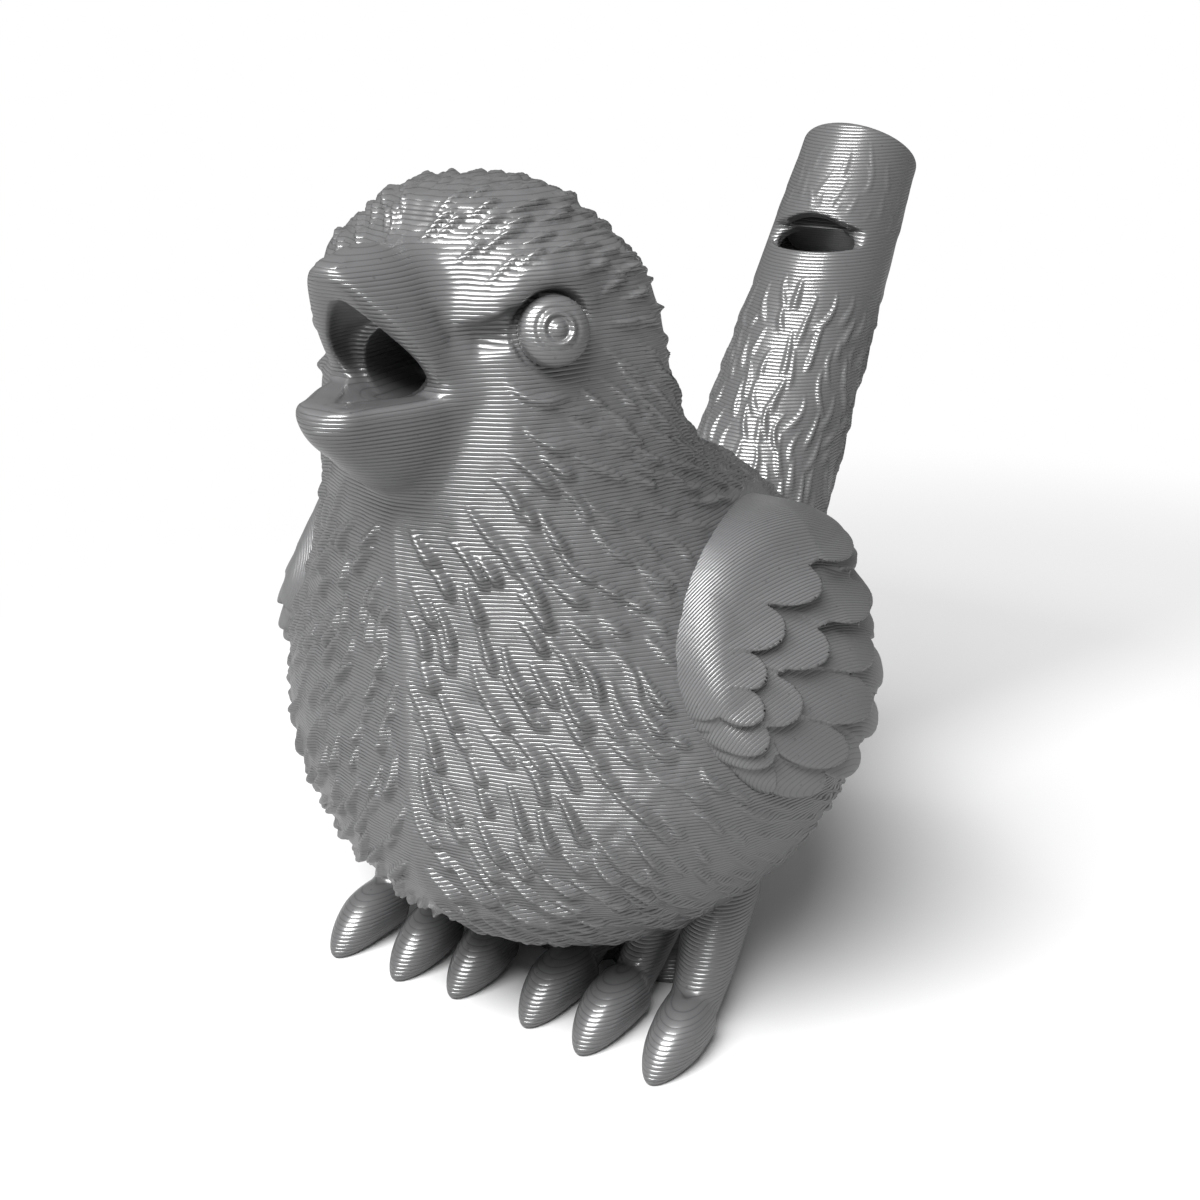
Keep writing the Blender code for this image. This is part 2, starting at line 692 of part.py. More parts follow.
def tail_pipe(whistle):
    """Tapered tube with a straight bore and a sloped window in its front."""
    name = "tail_pipe"
    mesh = cylinder_mesh(
        name, (0, 0, PIPE_BOTTOM), (0, 0, PIPE_TOP), PIPE_BOTTOM_RADIUS, PIPE_TOP_RADIUS, sides=40)
    pipe = whistle.part(name, mesh)
    pipe.location, pipe.rotation_euler = pipe_frame()
    bore = whistle.cutter("pipe_bore", cylinder_mesh(
        "pipe_bore", (0, 0, PIPE_BOTTOM - OVERCUT), (0, 0, PIPE_TOP + OVERCUT),
        PIPE_BORE_RADIUS, sides=32))
    bore.location, bore.rotation_euler = pipe_frame()
    sill = WINDOW_TOP - WINDOW_LENGTH
    slope = WINDOW_LIP * (WINDOW_REACH - WINDOW_DEPTH) / (pipe_radius(sill) - WINDOW_DEPTH)
    rings = []
    for x in (-WINDOW_REACH, WINDOW_REACH):
        rings.append([
            Vector((x, -WINDOW_DEPTH, WINDOW_TOP)),
            Vector((x, -WINDOW_REACH, WINDOW_TOP)),
            Vector((x, -WINDOW_REACH, sill - slope)),
            Vector((x, -WINDOW_DEPTH, sill)),
        ])
    window = whistle.cutter("pipe_window", loft("pipe_window", rings))
    window.location, window.rotation_euler = pipe_frame()
    combine(pipe, bore, "DIFFERENCE")
    combine(pipe, window, "DIFFERENCE")


def fipple(whistle):
    """Plug in the blowing end, flat at the front so that it leaves a windway."""
    name = "fipple_block"
    radius = PIPE_BORE_RADIUS - CLEARANCE
    mesh = cylinder_mesh(name, (0, 0, WINDOW_TOP), (0, 0, PIPE_TOP), radius, sides=32)
    block = whistle.part(name, mesh, roughness=0.45)
    block.location, block.rotation_euler = pipe_frame()
    flat = -PIPE_BORE_RADIUS + WINDWAY_HEIGHT
    low = (-WINDOW_REACH, -WINDOW_REACH, WINDOW_TOP - OVERCUT)
    high = (WINDOW_REACH, flat, PIPE_TOP + OVERCUT)
    windway = whistle.cutter("windway", box_mesh("windway", low, high))
    windway.location, windway.rotation_euler = pipe_frame()
    combine(block, windway, "DIFFERENCE")


def shade(whistle):
    for thing in whistle.parts.objects:
        if thing.type == "MESH":
            thing.data.shade_smooth()
            thing.data.set_sharp_from_angle(angle=math.radians(35))


def main():
    clear_scene()
    whistle = Whistle()
    shared_cutters(whistle)
    mouth_cutters(whistle)
    peg_cutters(whistle)
    seam_cutters(whistle)
    for word, side in (("left", 1), ("right", -1)):
        body_half(whistle, word)
        eye(whistle, word, side)
        wing(whistle, word, side)
        foot(whistle, word, side)
    beak(whistle, "beak_upper", UPPER_BEAK_STATIONS, UPPER_BEAK_PEG_HEIGHT, "mouth_vault")
    beak(whistle, "beak_lower", LOWER_BEAK_STATIONS, LOWER_BEAK_PEG_HEIGHT, "mouth_floor")
    tail_pipe(whistle)
    fipple(whistle)
    shade(whistle)


main()
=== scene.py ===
import math
from itertools import product

import bmesh
import bpy
import numpy as np
from mathutils import Matrix, Vector


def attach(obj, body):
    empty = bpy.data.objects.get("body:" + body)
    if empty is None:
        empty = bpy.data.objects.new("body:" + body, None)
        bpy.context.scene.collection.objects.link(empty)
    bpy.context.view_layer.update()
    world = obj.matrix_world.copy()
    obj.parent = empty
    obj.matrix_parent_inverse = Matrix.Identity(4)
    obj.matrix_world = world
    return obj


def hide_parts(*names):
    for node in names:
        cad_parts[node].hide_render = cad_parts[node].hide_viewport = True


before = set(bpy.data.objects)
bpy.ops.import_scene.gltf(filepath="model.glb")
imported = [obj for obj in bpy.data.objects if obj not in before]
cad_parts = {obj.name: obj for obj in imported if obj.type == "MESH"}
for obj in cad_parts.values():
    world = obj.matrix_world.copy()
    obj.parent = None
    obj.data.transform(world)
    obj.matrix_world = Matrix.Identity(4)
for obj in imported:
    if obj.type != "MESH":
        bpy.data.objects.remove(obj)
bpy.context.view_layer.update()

# Lengths are millimetres, with the bird facing -Y, until a mesh is made
MM = 0.001
SHIFT_Y = -26.5206
SIDES = (("left", 1), ("right", -1))
LAYER = 0.28
WING_LAYER = 0.2

# Spacing of the grids that the meshes are read from
BODY_GRID = 0.2
WING_GRID = 0.17
FOOT_GRID = 0.16
PIPE_GRID = 0.18

# Body outline: height, front, widest place, back, half width
BODY = np.array([
    (0.0, 10.0, 17.0, 26.0, 6.5),
    (2.5, 9.0, 17.0, 26.2, 7.6),
    (5.0, 6.4, 16.7, 27.0, 10.0),
    (8.0, 0.6, 14.5, 28.4, 13.6),
    (12.0, -4.6, 12.7, 30.3, 17.5),
    (16.0, -7.1, 11.9, 32.1, 20.6),
    (20.0, -7.9, 11.6, 33.8, 22.8),
    (24.0, -8.0, 11.7, 35.0, 23.9),
    (28.0, -7.9, 11.8, 35.6, 23.6),
    (32.0, -7.9, 11.5, 35.1, 22.1),
    (36.0, -8.0, 10.6, 33.1, 19.5),
    (40.0, -8.3, 9.1, 28.9, 16.8),
    (44.0, -8.3, 7.2, 21.8, 14.8),
    (48.0, -8.3, 5.3, 14.1, 13.8),
    (52.0, -8.4, 4.1, 10.0, 13.6),
    (56.0, -8.2, 3.6, 9.6, 13.2),
    (60.0, -7.0, 3.2, 9.4, 11.2),
    (63.0, -5.0, 2.5, 7.5, 7.8),
    (65.0, -2.3, 1.8, 4.5, 4.0),
])
CROWN = 65.35
LOWEST = -6.0
HIGHEST = 72.0
# Keel down the middle of the breast: heights, how far it stands out, how wide and how far back it goes
KEEL_HEIGHTS = [-6, 8, 14, 24, 40, 45, 49, 70]
KEEL_RISES = [0, 0, 0.45, 0.8, 0.8, 0.5, 0, 0]
KEEL_WIDTH = 3.5
KEEL_BACK = 6.0

# How far the face reaches to the front and to its side corners, by height
FACE_FRONT_HEIGHTS = [40, 46, 50, 53, 57, 60, 63, 66]
FACE_FRONT = [12.5, 10.4, 8.8, 8.05, 7.95, 8.2, 10.0, 12.0]
FACE_FRONT_WAY = (0.259, 0.966)
FACE_SIDE_HEIGHTS = [40, 46, 50, 53, 57, 60, 62, 66]
FACE_SIDE = [15.0, 13.0, 11.0, 9.9, 9.4, 9.4, 10.4, 12.0]
FACE_SIDE_WAY = (0.906, 0.423)
CHEEK = np.array([(7.6, -3.6, 53.0), (10.4, -0.8, 51.6)])
CHEEK_RADII = [2.6, 3.2]
BROW_PATH = np.array([
    (4.0, -7.6, 58.7), (6.1, -6.9, 58.6), (7.3, -6.0, 58.9), (8.3, -4.8, 59.7), (9.4, -3.2, 60.3),
    (10.6, -1.7, 60.1), (11.6, -0.9, 59.0),
])
BROW_RADII = [0.7, 1.2, 1.4, 1.4, 1.4, 1.2, 0.8]
BROW_SINK = 0.6
# Crease that runs from the beak to the eye
CREASE_PATH = np.array([
    (2.8, -7.9, 57.6), (4.8, -7.3, 56.8), (6.2, -6.7, 56.6), (7.4, -6.0, 56.9), (8.0, -5.2, 57.7),
])
CREASE_RADII = [0.15, 0.5, 0.85, 0.95, 0.7]
CREASE_LIFT = np.array([0.25, 0.15, 0.05, 0.0, 0.0])

# Upper beak: place, ridge height, edge height, half width
UPPER_BEAK = np.array([
    (-4.0, 61.6, 53.3, 5.6),
    (-8.0, 62.3, 53.5, 4.95),
    (-10.0, 62.5, 56.0, 4.2),
    (-12.0, 62.2, 58.6, 2.9),
    (-13.3, 61.8, 60.2, 1.8),
    (-14.0, 61.5, 60.9, 1.0),
])
# Lower beak: place, rim height, underside height, half width
LOWER_BEAK = np.array([
    (-4.0, 53.2, 44.6, 5.8),
    (-8.0, 53.2, 45.8, 5.1),
    (-10.5, 53.2, 47.2, 4.3),
    (-13.0, 53.2, 49.2, 3.1),
    (-15.0, 53.3, 50.7, 2.1),
    (-15.9, 53.2, 51.2, 1.5),
])
BEAK_ROOT = -4.0
UPPER_TIP = -14.25
LOWER_TIP = -15.8
# Bowl of the open beak: place, roof height, floor height, half width
MOUTH = np.array([
    (-6.0, 57.6, 52.5, 3.5),
    (-7.8, 57.6, 52.5, 3.5),
    (-9.0, 57.8, 52.6, 3.5),
    (-10.0, 58.3, 52.8, 3.2),
    (-11.2, 58.9, 53.1, 2.5),
    (-12.4, 59.4, 53.3, 1.7),
    (-13.6, 59.7, 53.5, 1.0),
    (-14.6, 59.7, 53.6, 0.8),
    (-16.5, 59.5, 53.8, 0.7),
])
MOUTH_BACK = -7.4
# Throat behind it: height of its middle, half width and half height, and where it starts and ends
THROAT_MIDDLE = 54.7
THROAT_HALF = (2.6, 2.2)
THROAT_START = MOUTH_BACK - 1.5
THROAT_END = 2.8

EYE_SEAT = np.array([9.2, -2.9, 56.9])
EYE_AXIS = np.array([0.74, -0.59, 0.32])
EYE_AXIS = EYE_AXIS / np.linalg.norm(EYE_AXIS)
EYE_RADIUS = 2.3
EYE_SOCKET_RADIUS = 2.55
EYE_SINK = 0.6
EYE_RINGS = 44
EYE_SPOKES = 72
# Share of the rings that lie on the dome, the rest being its rim, and the dome's radius at its edge
DOME_SHARE = 0.8
DOME_EDGE = 0.985
DOME_HEIGHT = 0.95
DOME_LIFT = 0.2

# Tail pipe, leaning back about a point on its axis; places on it are measured from that point
PIPE_LEAN = math.radians(34.5)
PIPE_ANCHOR = np.array([0.0, 49.6, 40.0])
PIPE_AXIS = np.array([0.0, math.sin(PIPE_LEAN), math.cos(PIPE_LEAN)])
PIPE_TOP = 26.0
PIPE_BOTTOM = -21.0
PIPE_TOP_RADIUS = 5.6
PIPE_BOTTOM_RADIUS = 7.5
PIPE_HOLE_RADIUS = 7.56
BORE = 4.8
WINDOW_TOP = 15.9
WINDOW_LENGTH = 3.5
WINDOW_HALF = 5.2
WINDOW_DEPTH = 3.6
# Oval hole in the window: drop of its middle, half width and half length, and the web it is cut in
HOLE_DROP = 1.5
HOLE_HALF = (3.9, 1.9)
WEB_FRONT = 3.0
WEB_HALF = (0.6, 2.6)
ROOT_PLACES = (-33.0, -28.0, -23.0, -13.6)
ROOT_RADII = [3.0, 6.6, 8.6, 8.0]

# Wing seen from the side, as place and height: the whole pad, then its rows of feathers
PAD = np.array([
    (0.3, 33.8), (1.0, 36.0), (2.8, 38.7), (5.2, 41.0), (8.2, 42.5), (12.4, 42.8), (16.4, 42.0),
    (20.4, 40.0), (22.9, 37.0), (23.3, 33.0), (22.2, 29.0), (19.6, 25.6), (15.6, 23.2), (11.0, 22.6),
    (7.0, 22.9), (3.9, 24.4), (1.9, 26.6), (0.6, 29.2), (0.1, 31.6),
])
ROW_BASES = [
    [(-4.0, 33.0), (-3.0, 40.0), (2.0, 46.0), (12.0, 47.0), (22.0, 43.0), (19.0, 40.0), (14.0, 40.4),
     (8.5, 39.6), (4.6, 37.6), (2.5, 35.2), (1.2, 32.8), (0.0, 31.6), (-4.0, 31.0)],
    [(-4.0, 30.0), (-3.0, 40.0), (2.0, 46.0), (12.0, 47.0), (24.0, 42.0), (20.5, 37.8), (14.0, 36.8),
     (7.5, 35.6), (3.6, 32.6), (0.6, 30.8), (-4.0, 29.6)],
    [(-4.0, 28.0), (-3.0, 40.0), (2.0, 46.0), (12.0, 47.0), (25.0, 40.0), (22.0, 35.4), (17.0, 34.6),
     (12.8, 33.0), (9.6, 30.6), (7.6, 28.2), (2.6, 28.8), (-4.0, 28.4)],
    [(-1.6, 29.6), (-1.6, 38.0), (2.6, 42.6), (14.0, 42.6), (20.6, 38.4), (20.2, 32.4), (16.5, 28.6),
     (12.5, 26.4), (6.0, 25.4), (1.4, 27.2)],
]
# Feather ends of each row: centre place and height, then two half widths of a leaning oval
ROW_ENDS = [
    [(15.5, 39.6, 3.5, -1.1, -1.9, -0.8), (8.6, 38.6, 2.6, -0.7, -1.3, -1.2),
     (4.8, 36.5, 2.0, -0.5, -0.9, -1.4), (3.0, 34.0, 1.4, -0.3, -0.5, -1.2),
     (2.1, 31.8, 1.3, -0.3, -0.3, -1.3)],
    [(19.3, 38.2, 3.0, -1.0, -1.6, -0.9), (14.2, 35.9, 3.8, -1.2, -1.9, -1.0),
     (7.5, 34.6, 2.4, -0.7, -1.0, -1.4), (4.4, 31.6, 2.0, -0.6, -0.5, -1.7),
     (2.2, 29.6, 1.4, -0.3, -0.3, -1.4)],
    [(18.4, 34.9, 3.6, -1.2, -1.8, -0.9), (12.8, 32.9, 3.9, -1.4, -1.3, -1.3),
     (10.1, 30.2, 3.6, -1.3, -0.7, -1.7), (7.2, 27.6, 2.9, -1.1, -0.2, -1.7),
     (2.6, 28.5, 1.6, -0.4, -0.2, -1.5)],
    [(20.4, 36.4, 2.4, -0.6, -0.6, -1.6), (19.6, 33.0, 2.9, -0.9, -0.8, -1.5),
     (17.4, 29.8, 3.2, -1.1, -0.5, -1.6), (13.9, 27.4, 3.0, -1.1, -0.2, -1.7),
     (10.2, 25.6, 2.6, -1.0, 0.0, -1.8), (6.2, 25.2, 2.3, -0.8, 0.0, -1.8),
     (2.9, 26.2, 2.0, -0.6, -0.1, -1.9), (0.3, 28.4, 1.6, -0.4, -0.2, -1.8)],
]
ROW_THICKNESS = [3.35, 2.6, 1.85, 1.15]
ROW_MARGIN = 0.9
TIP_LIFT = 0.3
# Share of the thickness that the wing has at places from its front to its back
WING_PLACES = [-1.0, 1.5, 4.0, 8.0, 13.0]
WING_SHARES = [0.42, 0.46, 0.53, 0.74, 1.0]

# Toes: side place of the claw tip and of the belly end, and place of the tip
TOES = [(3.6, 4.6, 0.0), (9.1, 9.6, -0.6), (15.5, 14.6, -0.7)]
# Limb of each toe: way back from the tip, height, radius
LIMBS = [
    [(7.6, 2.5, 1.60), (9.6, 4.2, 1.8), (13.0, 8.0, 2.3)],
    [(7.6, 2.5, 1.65), (9.6, 4.4, 1.85), (13.0, 8.6, 2.4)],
    [(7.4, 2.6, 1.90), (9.4, 4.9, 2.25), (13.0, 10.6, 2.9)],
]
SPLAY_START = 4.0
SPLAY_LENGTH = 9.0
CLAW_PLACES = [-2.0, 0.0, 1.2, 2.6, 4.2, 6.0, 8.0, 12.0]
CLAW_HEIGHTS = [0.2, 0.5, 1.0, 1.5, 1.9, 2.15, 2.2, 2.2]
CLAW_WIDEST = 5.6
CLAW_END = 7.5
CLAW_RADIUS = 2.32
CLAW_TAPER = 1.9
CLAW_ROUND = 1.7
# Pad under the toes: centre and half sizes
FOOT_PAD = np.array([7.6, 14.5, 0.0])
FOOT_PAD_HALF = np.array([4.6, 3.6, 3.4])

# Feather strokes
STROKE_STEP = 0.3
BODY_SEEDS = 26000
PIPE_SEEDS = 9000
BARE_FACE = np.array([0.0, -9.5, 53.6])
BARE_FACE_HALF = np.array([8.8, 6.0, 9.4])

# Studio, in metres and watts
LAMP_PLACE = (0.01, -0.30, 0.42)
LAMP_AIM = (0.0, 0.0, 0.035)
LAMP_SIZE = (0.40, 0.2)
LAMP_POWER = 4.6
WORLD_STRENGTH = 0.21
FLOOR_HALF = 6.0
FLOOR_SEEN = 0.82
FLOOR_BOUNCE = 0.4
FADE_CENTRE = (0.02, 0.03, 0.0)
FADE_NEAR = 0.075
FADE_FAR = 0.13
# Camera place in millimetres, and its turn from the front and drop from level
CAMERA_PLACE = (65.17, -85.41, 78.21)
CAMERA_TURN = math.radians(32.49)
CAMERA_DROP = math.radians(21.61)


def spline_table(xs, ys, places):
    """Smooth curve through points, read at many places."""
    order = np.argsort(xs)
    xs = xs[order]
    ys = ys[order]
    slopes = np.gradient(ys, xs)
    at = np.clip(places, xs[0], xs[-1])
    i = np.clip(np.searchsorted(xs, at) - 1, 0, len(xs) - 2)
    span = xs[i + 1] - xs[i]
    t = (at - xs[i]) / span
    t2 = t * t
    t3 = t2 * t
    inside = (
        (2 * t3 - 3 * t2 + 1) * ys[i] + (t3 - 2 * t2 + t) * slopes[i] * span
        + (3 * t2 - 2 * t3) * ys[i + 1] + (t3 - t2) * slopes[i + 1] * span
    )
    above = np.where(places > xs[-1], (places - xs[-1]) * slopes[-1], 0)
    below = np.where(places < xs[0], (places - xs[0]) * slopes[0], 0)
    return inside + above + below


class Table:
    """A value of one coordinate with its slope, ready for fast reading."""

    def __init__(self, xs, ys, low, high, count=1500):
        self.x = np.linspace(low, high, count)
        self.y = spline_table(np.asarray(xs, float), np.asarray(ys, float), self.x)
        self.dy = np.gradient(self.y, self.x)

    def __call__(self, places):
        return np.interp(places, self.x, self.y), np.interp(places, self.x, self.dy)


def body_tables():
    """Half width squared, widest place and front and back roundness, by height."""
    height, front, widest, back, half = BODY.T
    half_squared = half ** 2
    round_front = (half / (widest - front)) ** 2
    round_back = (half / (back - widest)) ** 2
    # Two more rows close the head at its crown
    height = np.append(height, [CROWN, CROWN + 1.0])
    half_squared = np.append(half_squared, [0.0, -22.0])
    widest = np.append(widest, [1.5, 1.2])
    round_front = np.append(round_front, [0.95, 0.95])
    round_back = np.append(round_back, [2.0, 2.0])
    columns = (half_squared, widest, round_front, round_back)
    return [Table(height, column, LOWEST, HIGHEST) for column in columns]


def outline_tables(rows, columns, low, high, count=500):
    return [Table(rows[:, 0], rows[:, k], low, high, count) for k in columns]


BODY_TABLES = body_tables()
WIDEST_TABLE = BODY_TABLES[1]
KEEL_TABLE = Table(KEEL_HEIGHTS, KEEL_RISES, LOWEST, HIGHEST)
UPPER_TABLES = outline_tables(UPPER_BEAK, (1, 2, 3), -17.0, -3.0)
LOWER_TABLES = outline_tables(LOWER_BEAK, (2, 1, 3), -18.0, -3.0)
MOUTH_TABLES = outline_tables(MOUTH, (1, 2, 3), -18.0, 4.0, 600)
FACE_FRONT_TABLE = Table(FACE_FRONT_HEIGHTS, FACE_FRONT, 30.0, HIGHEST)
FACE_SIDE_TABLE = Table(FACE_SIDE_HEIGHTS, FACE_SIDE, 30.0, HIGHEST)
CLAW_TABLE = Table(CLAW_PLACES, CLAW_HEIGHTS, -6.0, 16.0)


def smooth_min(a, b, k):
    """Smaller of two distances, blended where they differ by less than k."""
    h = np.clip(0.5 + 0.5 * (b - a) / k, 0.0, 1.0)
    return b + (a - b) * h - k * h * (1.0 - h)


def smooth_max(a, b, k):
    return -smooth_min(-a, -b, k)


def mix(first, second, share):
    return first * (1 - share) + second * share


def unit(rows, least=1e-4):
    """Rows of vectors brought to length one."""
    return rows / np.maximum(np.linalg.norm(rows, axis=-1), least)[..., None]


def body_distance(x, y, z):
    """Distance to the egg-shaped body and head with the keel of the breast."""
    (hh, dh), (w, dw), (qf, dqf), (qb, dqb) = [table(z) for table in BODY_TABLES]
    back = y > w
    q = np.where(back, qb, qf)
    dq = np.where(back, dqb, dqf)
    v = y - w
    value = x * x + v * v * q - hh
    gx = 2 * x
    gy = 2 * v * q
    gz = -dh + v * v * dq - 2 * v * q * dw
    d = value / np.sqrt(gx * gx + gy * gy + gz * gz + 1.0)
    keel, _ = KEEL_TABLE(z)
    front = np.clip((w - y) / KEEL_BACK, 0.0, 1.0)
    return d - keel * front * (np.exp(-np.sqrt(x * x + 0.12) / KEEL_WIDTH) - 0.5)


def oval_distance(side, rise, half, tall):
    """Distance to an oval from a place given as shares of its half width and height."""
    radius = np.sqrt(side * side + rise * rise + 1e-9)
    slope = np.sqrt((side / half) ** 2 + (rise / tall) ** 2) / radius
    return (radius - 1.0) / np.maximum(slope, 1.0 / np.maximum(half, tall))


def arch_distance(x, y, z, tables, hangs):
    """Arched solid along Y between an edge height and a crest height."""
    (crest, _), (edge, _), (half, _) = [table(y) for table in tables]
    half = np.maximum(half, 0.25)
    tall = np.maximum(np.abs(crest - edge), 0.3)
    rise = (edge - z if hangs else z - edge) / tall
    shell = oval_distance(x / half, np.maximum(rise, 0.0), half, tall)
    return smooth_max(shell, -rise * tall, 1.0)


def mouth_distance(x, y, z):
    """The hollow of the open beak and the throat behind it."""
    (roof, _), (floor, _), (half, _) = [table(y) for table in MOUTH_TABLES]
    half = np.maximum(half, 0.3)
    tall = (roof - floor) / 2
    bowl = oval_distance(x / half, (z - (roof + floor) / 2) / tall, half, tall)
    bowl = smooth_max(bowl, y - MOUTH_BACK, 1.0)
    wide, tall = THROAT_HALF
    throat = oval_distance(x / wide, (z - THROAT_MIDDLE) / tall, wide, tall)
    return np.minimum(bowl, np.maximum(throat, np.maximum(y - THROAT_END, THROAT_START - y)))


def capsule_distance(x, y, z, points, radii):
    """Distance to a chain of round bars with changing radius."""
    best = None
    for start, end, r0, r1 in zip(points[:-1], points[1:], radii[:-1], radii[1:]):
        run = end - start
        length = run @ run
        t = ((x - start[0]) * run[0] + (y - start[1]) * run[1] + (z - start[2]) * run[2]) / length
        t = np.clip(t, 0.0, 1.0)
        d = np.sqrt(
            (x - start[0] - t * run[0]) ** 2 + (y - start[1] - t * run[1]) ** 2
            + (z - start[2] - t * run[2]) ** 2) - (r0 + (r1 - r0) * t)
        best = d if best is None else np.minimum(best, d)
    return best


def along_and_across(x, y, z, place, axis):
    """How far a point lies along an axis from a place, and how far from the axis."""
    dx = x - place[0]
    dy = y - place[1]
    dz = z - place[2]
    along = dx * axis[0] + dy * axis[1] + dz * axis[2]
    return along, np.sqrt(np.maximum(dx ** 2 + dy ** 2 + dz ** 2 - along * along, 0.0))


def gradient(f, p, step=0.02):
    x, y, z = p[:, 0], p[:, 1], p[:, 2]
    return np.stack([
        f(x + step, y, z) - f(x - step, y, z),
        f(x, y + step, z) - f(x, y - step, z),
        f(x, y, z + step) - f(x, y, z - step)], axis=1) / (2 * step)


def seat(f, p, rounds=3):
    """Move points onto the surface f = 0 and give its normals."""
    for _ in range(rounds):
        g = gradient(f, p)
        length2 = np.maximum((g * g).sum(1), 0.05)
        p = p - (f(p[:, 0], p[:, 1], p[:, 2]) / length2)[:, None] * g
    return p, unit(gradient(f, p), 1e-6)


def face_distance(x, y, z):
    """Body and head with the cheek, kept slim toward the beak."""
    d = body_distance(x, y, z)
    d = smooth_min(d, capsule_distance(x, y, z, CHEEK, CHEEK_RADII), 1.6)
    front, _ = FACE_FRONT_TABLE(z)
    side, _ = FACE_SIDE_TABLE(z)
    d = smooth_max(d, FACE_FRONT_WAY[0] * x - FACE_FRONT_WAY[1] * y - front, 1.2)
    return smooth_max(d, FACE_SIDE_WAY[0] * x - FACE_SIDE_WAY[1] * y - side, 2.0)


def brow_points():
    seated, out = seat(face_distance, BROW_PATH)
    return seated - out * BROW_SINK


BROW = brow_points()


def beaked_distance(x, y, z):
    """The face with its brow and both halves of the beak."""
    d = face_distance(x, y, z)
    d = smooth_min(d, capsule_distance(x, y, z, BROW, BROW_RADII), 0.9)
    upper = arch_distance(x, y, z, UPPER_TABLES, False)
    upper = smooth_max(upper, UPPER_TIP - y, 0.8)
    d = smooth_min(d, np.maximum(upper, y - BEAK_ROOT), 1.8)
    lower = arch_distance(x, y, z, LOWER_TABLES, True)
    lower = smooth_max(lower, LOWER_TIP - y, 1.8)
    return smooth_min(d, np.maximum(lower, y - BEAK_ROOT), 1.3)


def crease_points():
    seated, out = seat(beaked_distance, CREASE_PATH)
    return seated + out * CREASE_LIFT[:, None]


CREASE = crease_points()
ROOT_POINTS = [PIPE_ANCHOR + PIPE_AXIS * s for s in ROOT_PLACES]


def head_distance(x, y, z):
    """Everything that is one smooth form: body, head, beak, brow, tail root."""
    x = np.abs(x)
    d = beaked_distance(x, y, z)
    d = smooth_max(d, -capsule_distance(x, y, z, CREASE, CREASE_RADII), 0.8)
    along, across = along_and_across(x, y, z, EYE_SEAT, EYE_AXIS)
    d = smooth_max(d, -np.maximum(across - EYE_SOCKET_RADIUS, -along - EYE_SINK), 0.6)
    d = smooth_min(d, capsule_distance(x, y, z, ROOT_POINTS, ROOT_RADII), 4.0)
    d = smooth_max(d, -mouth_distance(x, y, z), 0.5)
    along, across = along_and_across(x, y, z, PIPE_ANCHOR, PIPE_AXIS)
    d = smooth_max(d, -np.maximum(across - PIPE_HOLE_RADIUS, PIPE_BOTTOM - along), 0.4)
    return smooth_max(d, -z, 0.3)


def read_field(f, low, counts, h, block, reach):
    """Values of f on a grid, exact only in the blocks that the surface may cross."""
    size = counts * block
    grid = [low[a] + h * np.arange(size[a]) for a in range(3)]
    middles = [low[a] + h * block * (np.arange(counts[a]) + 0.5) for a in range(3)]
    coarse = f(*np.meshgrid(*middles, indexing="ij"))
    field = np.repeat(np.repeat(np.repeat(
        np.sign(coarse).astype(np.float32) * 9, block, 0), block, 1), block, 2)
    near = np.argwhere(np.abs(coarse) < h * block * 0.87 + reach)
    offsets = np.arange(block)
    batch = 1500
    for part in range(0, len(near), batch):
        b = near[part:part + batch]
        ix = b[:, 0, None] * block + offsets
        iy = b[:, 1, None] * block + offsets
        iz = b[:, 2, None] * block + offsets
        x = grid[0][ix][:, :, None, None]
        y = grid[1][iy][:, None, :, None]
        z = grid[2][iz][:, None, None, :]
        shape = (len(b), block, block, block)
        values = f(*[np.broadcast_to(v, shape) for v in (x, y, z)])
        field[ix[:, :, None, None], iy[:, None, :, None], iz[:, None, None, :]] = values
    return field


def crossing_cells(solid):
    """Grid cells that the surface passes through."""
    size = solid.shape
    corner = np.zeros(tuple(n - 1 for n in size), np.int8)
    for a, b, c in product((0, 1), repeat=3):
        corner += solid[a:size[0] - 1 + a, b:size[1] - 1 + b, c:size[2] - 1 + c]
    return np.argwhere((corner > 0) & (corner < 8)), corner.shape


def cell_points(field, cells):
    """One point a cell: the middle of the places where its edges cross the surface."""
    value = {}
    for a, b, c in product((0, 1), repeat=3):
        value[a, b, c] = field[cells[:, 0] + a, cells[:, 1] + b, cells[:, 2] + c].astype(float)
    total = np.zeros((len(cells), 3))
    hits = np.zeros(len(cells))
    for axis, first, second in product(range(3), (0, 1), (0, 1)):
        start = [first, second]
        start.insert(axis, 0)
        end = list(start)
        end[axis] = 1
        v0 = value[tuple(start)]
        v1 = value[tuple(end)]
        cross = (v0 < 0) != (v1 < 0)
        point = np.tile(np.array(start, float), (len(cells), 1))
        point[:, axis] = np.where(cross, v0 / np.where(cross, v0 - v1, 1.0), 0.0)
        total += point * cross[:, None]
        hits += cross
    return cells + total / hits[:, None]


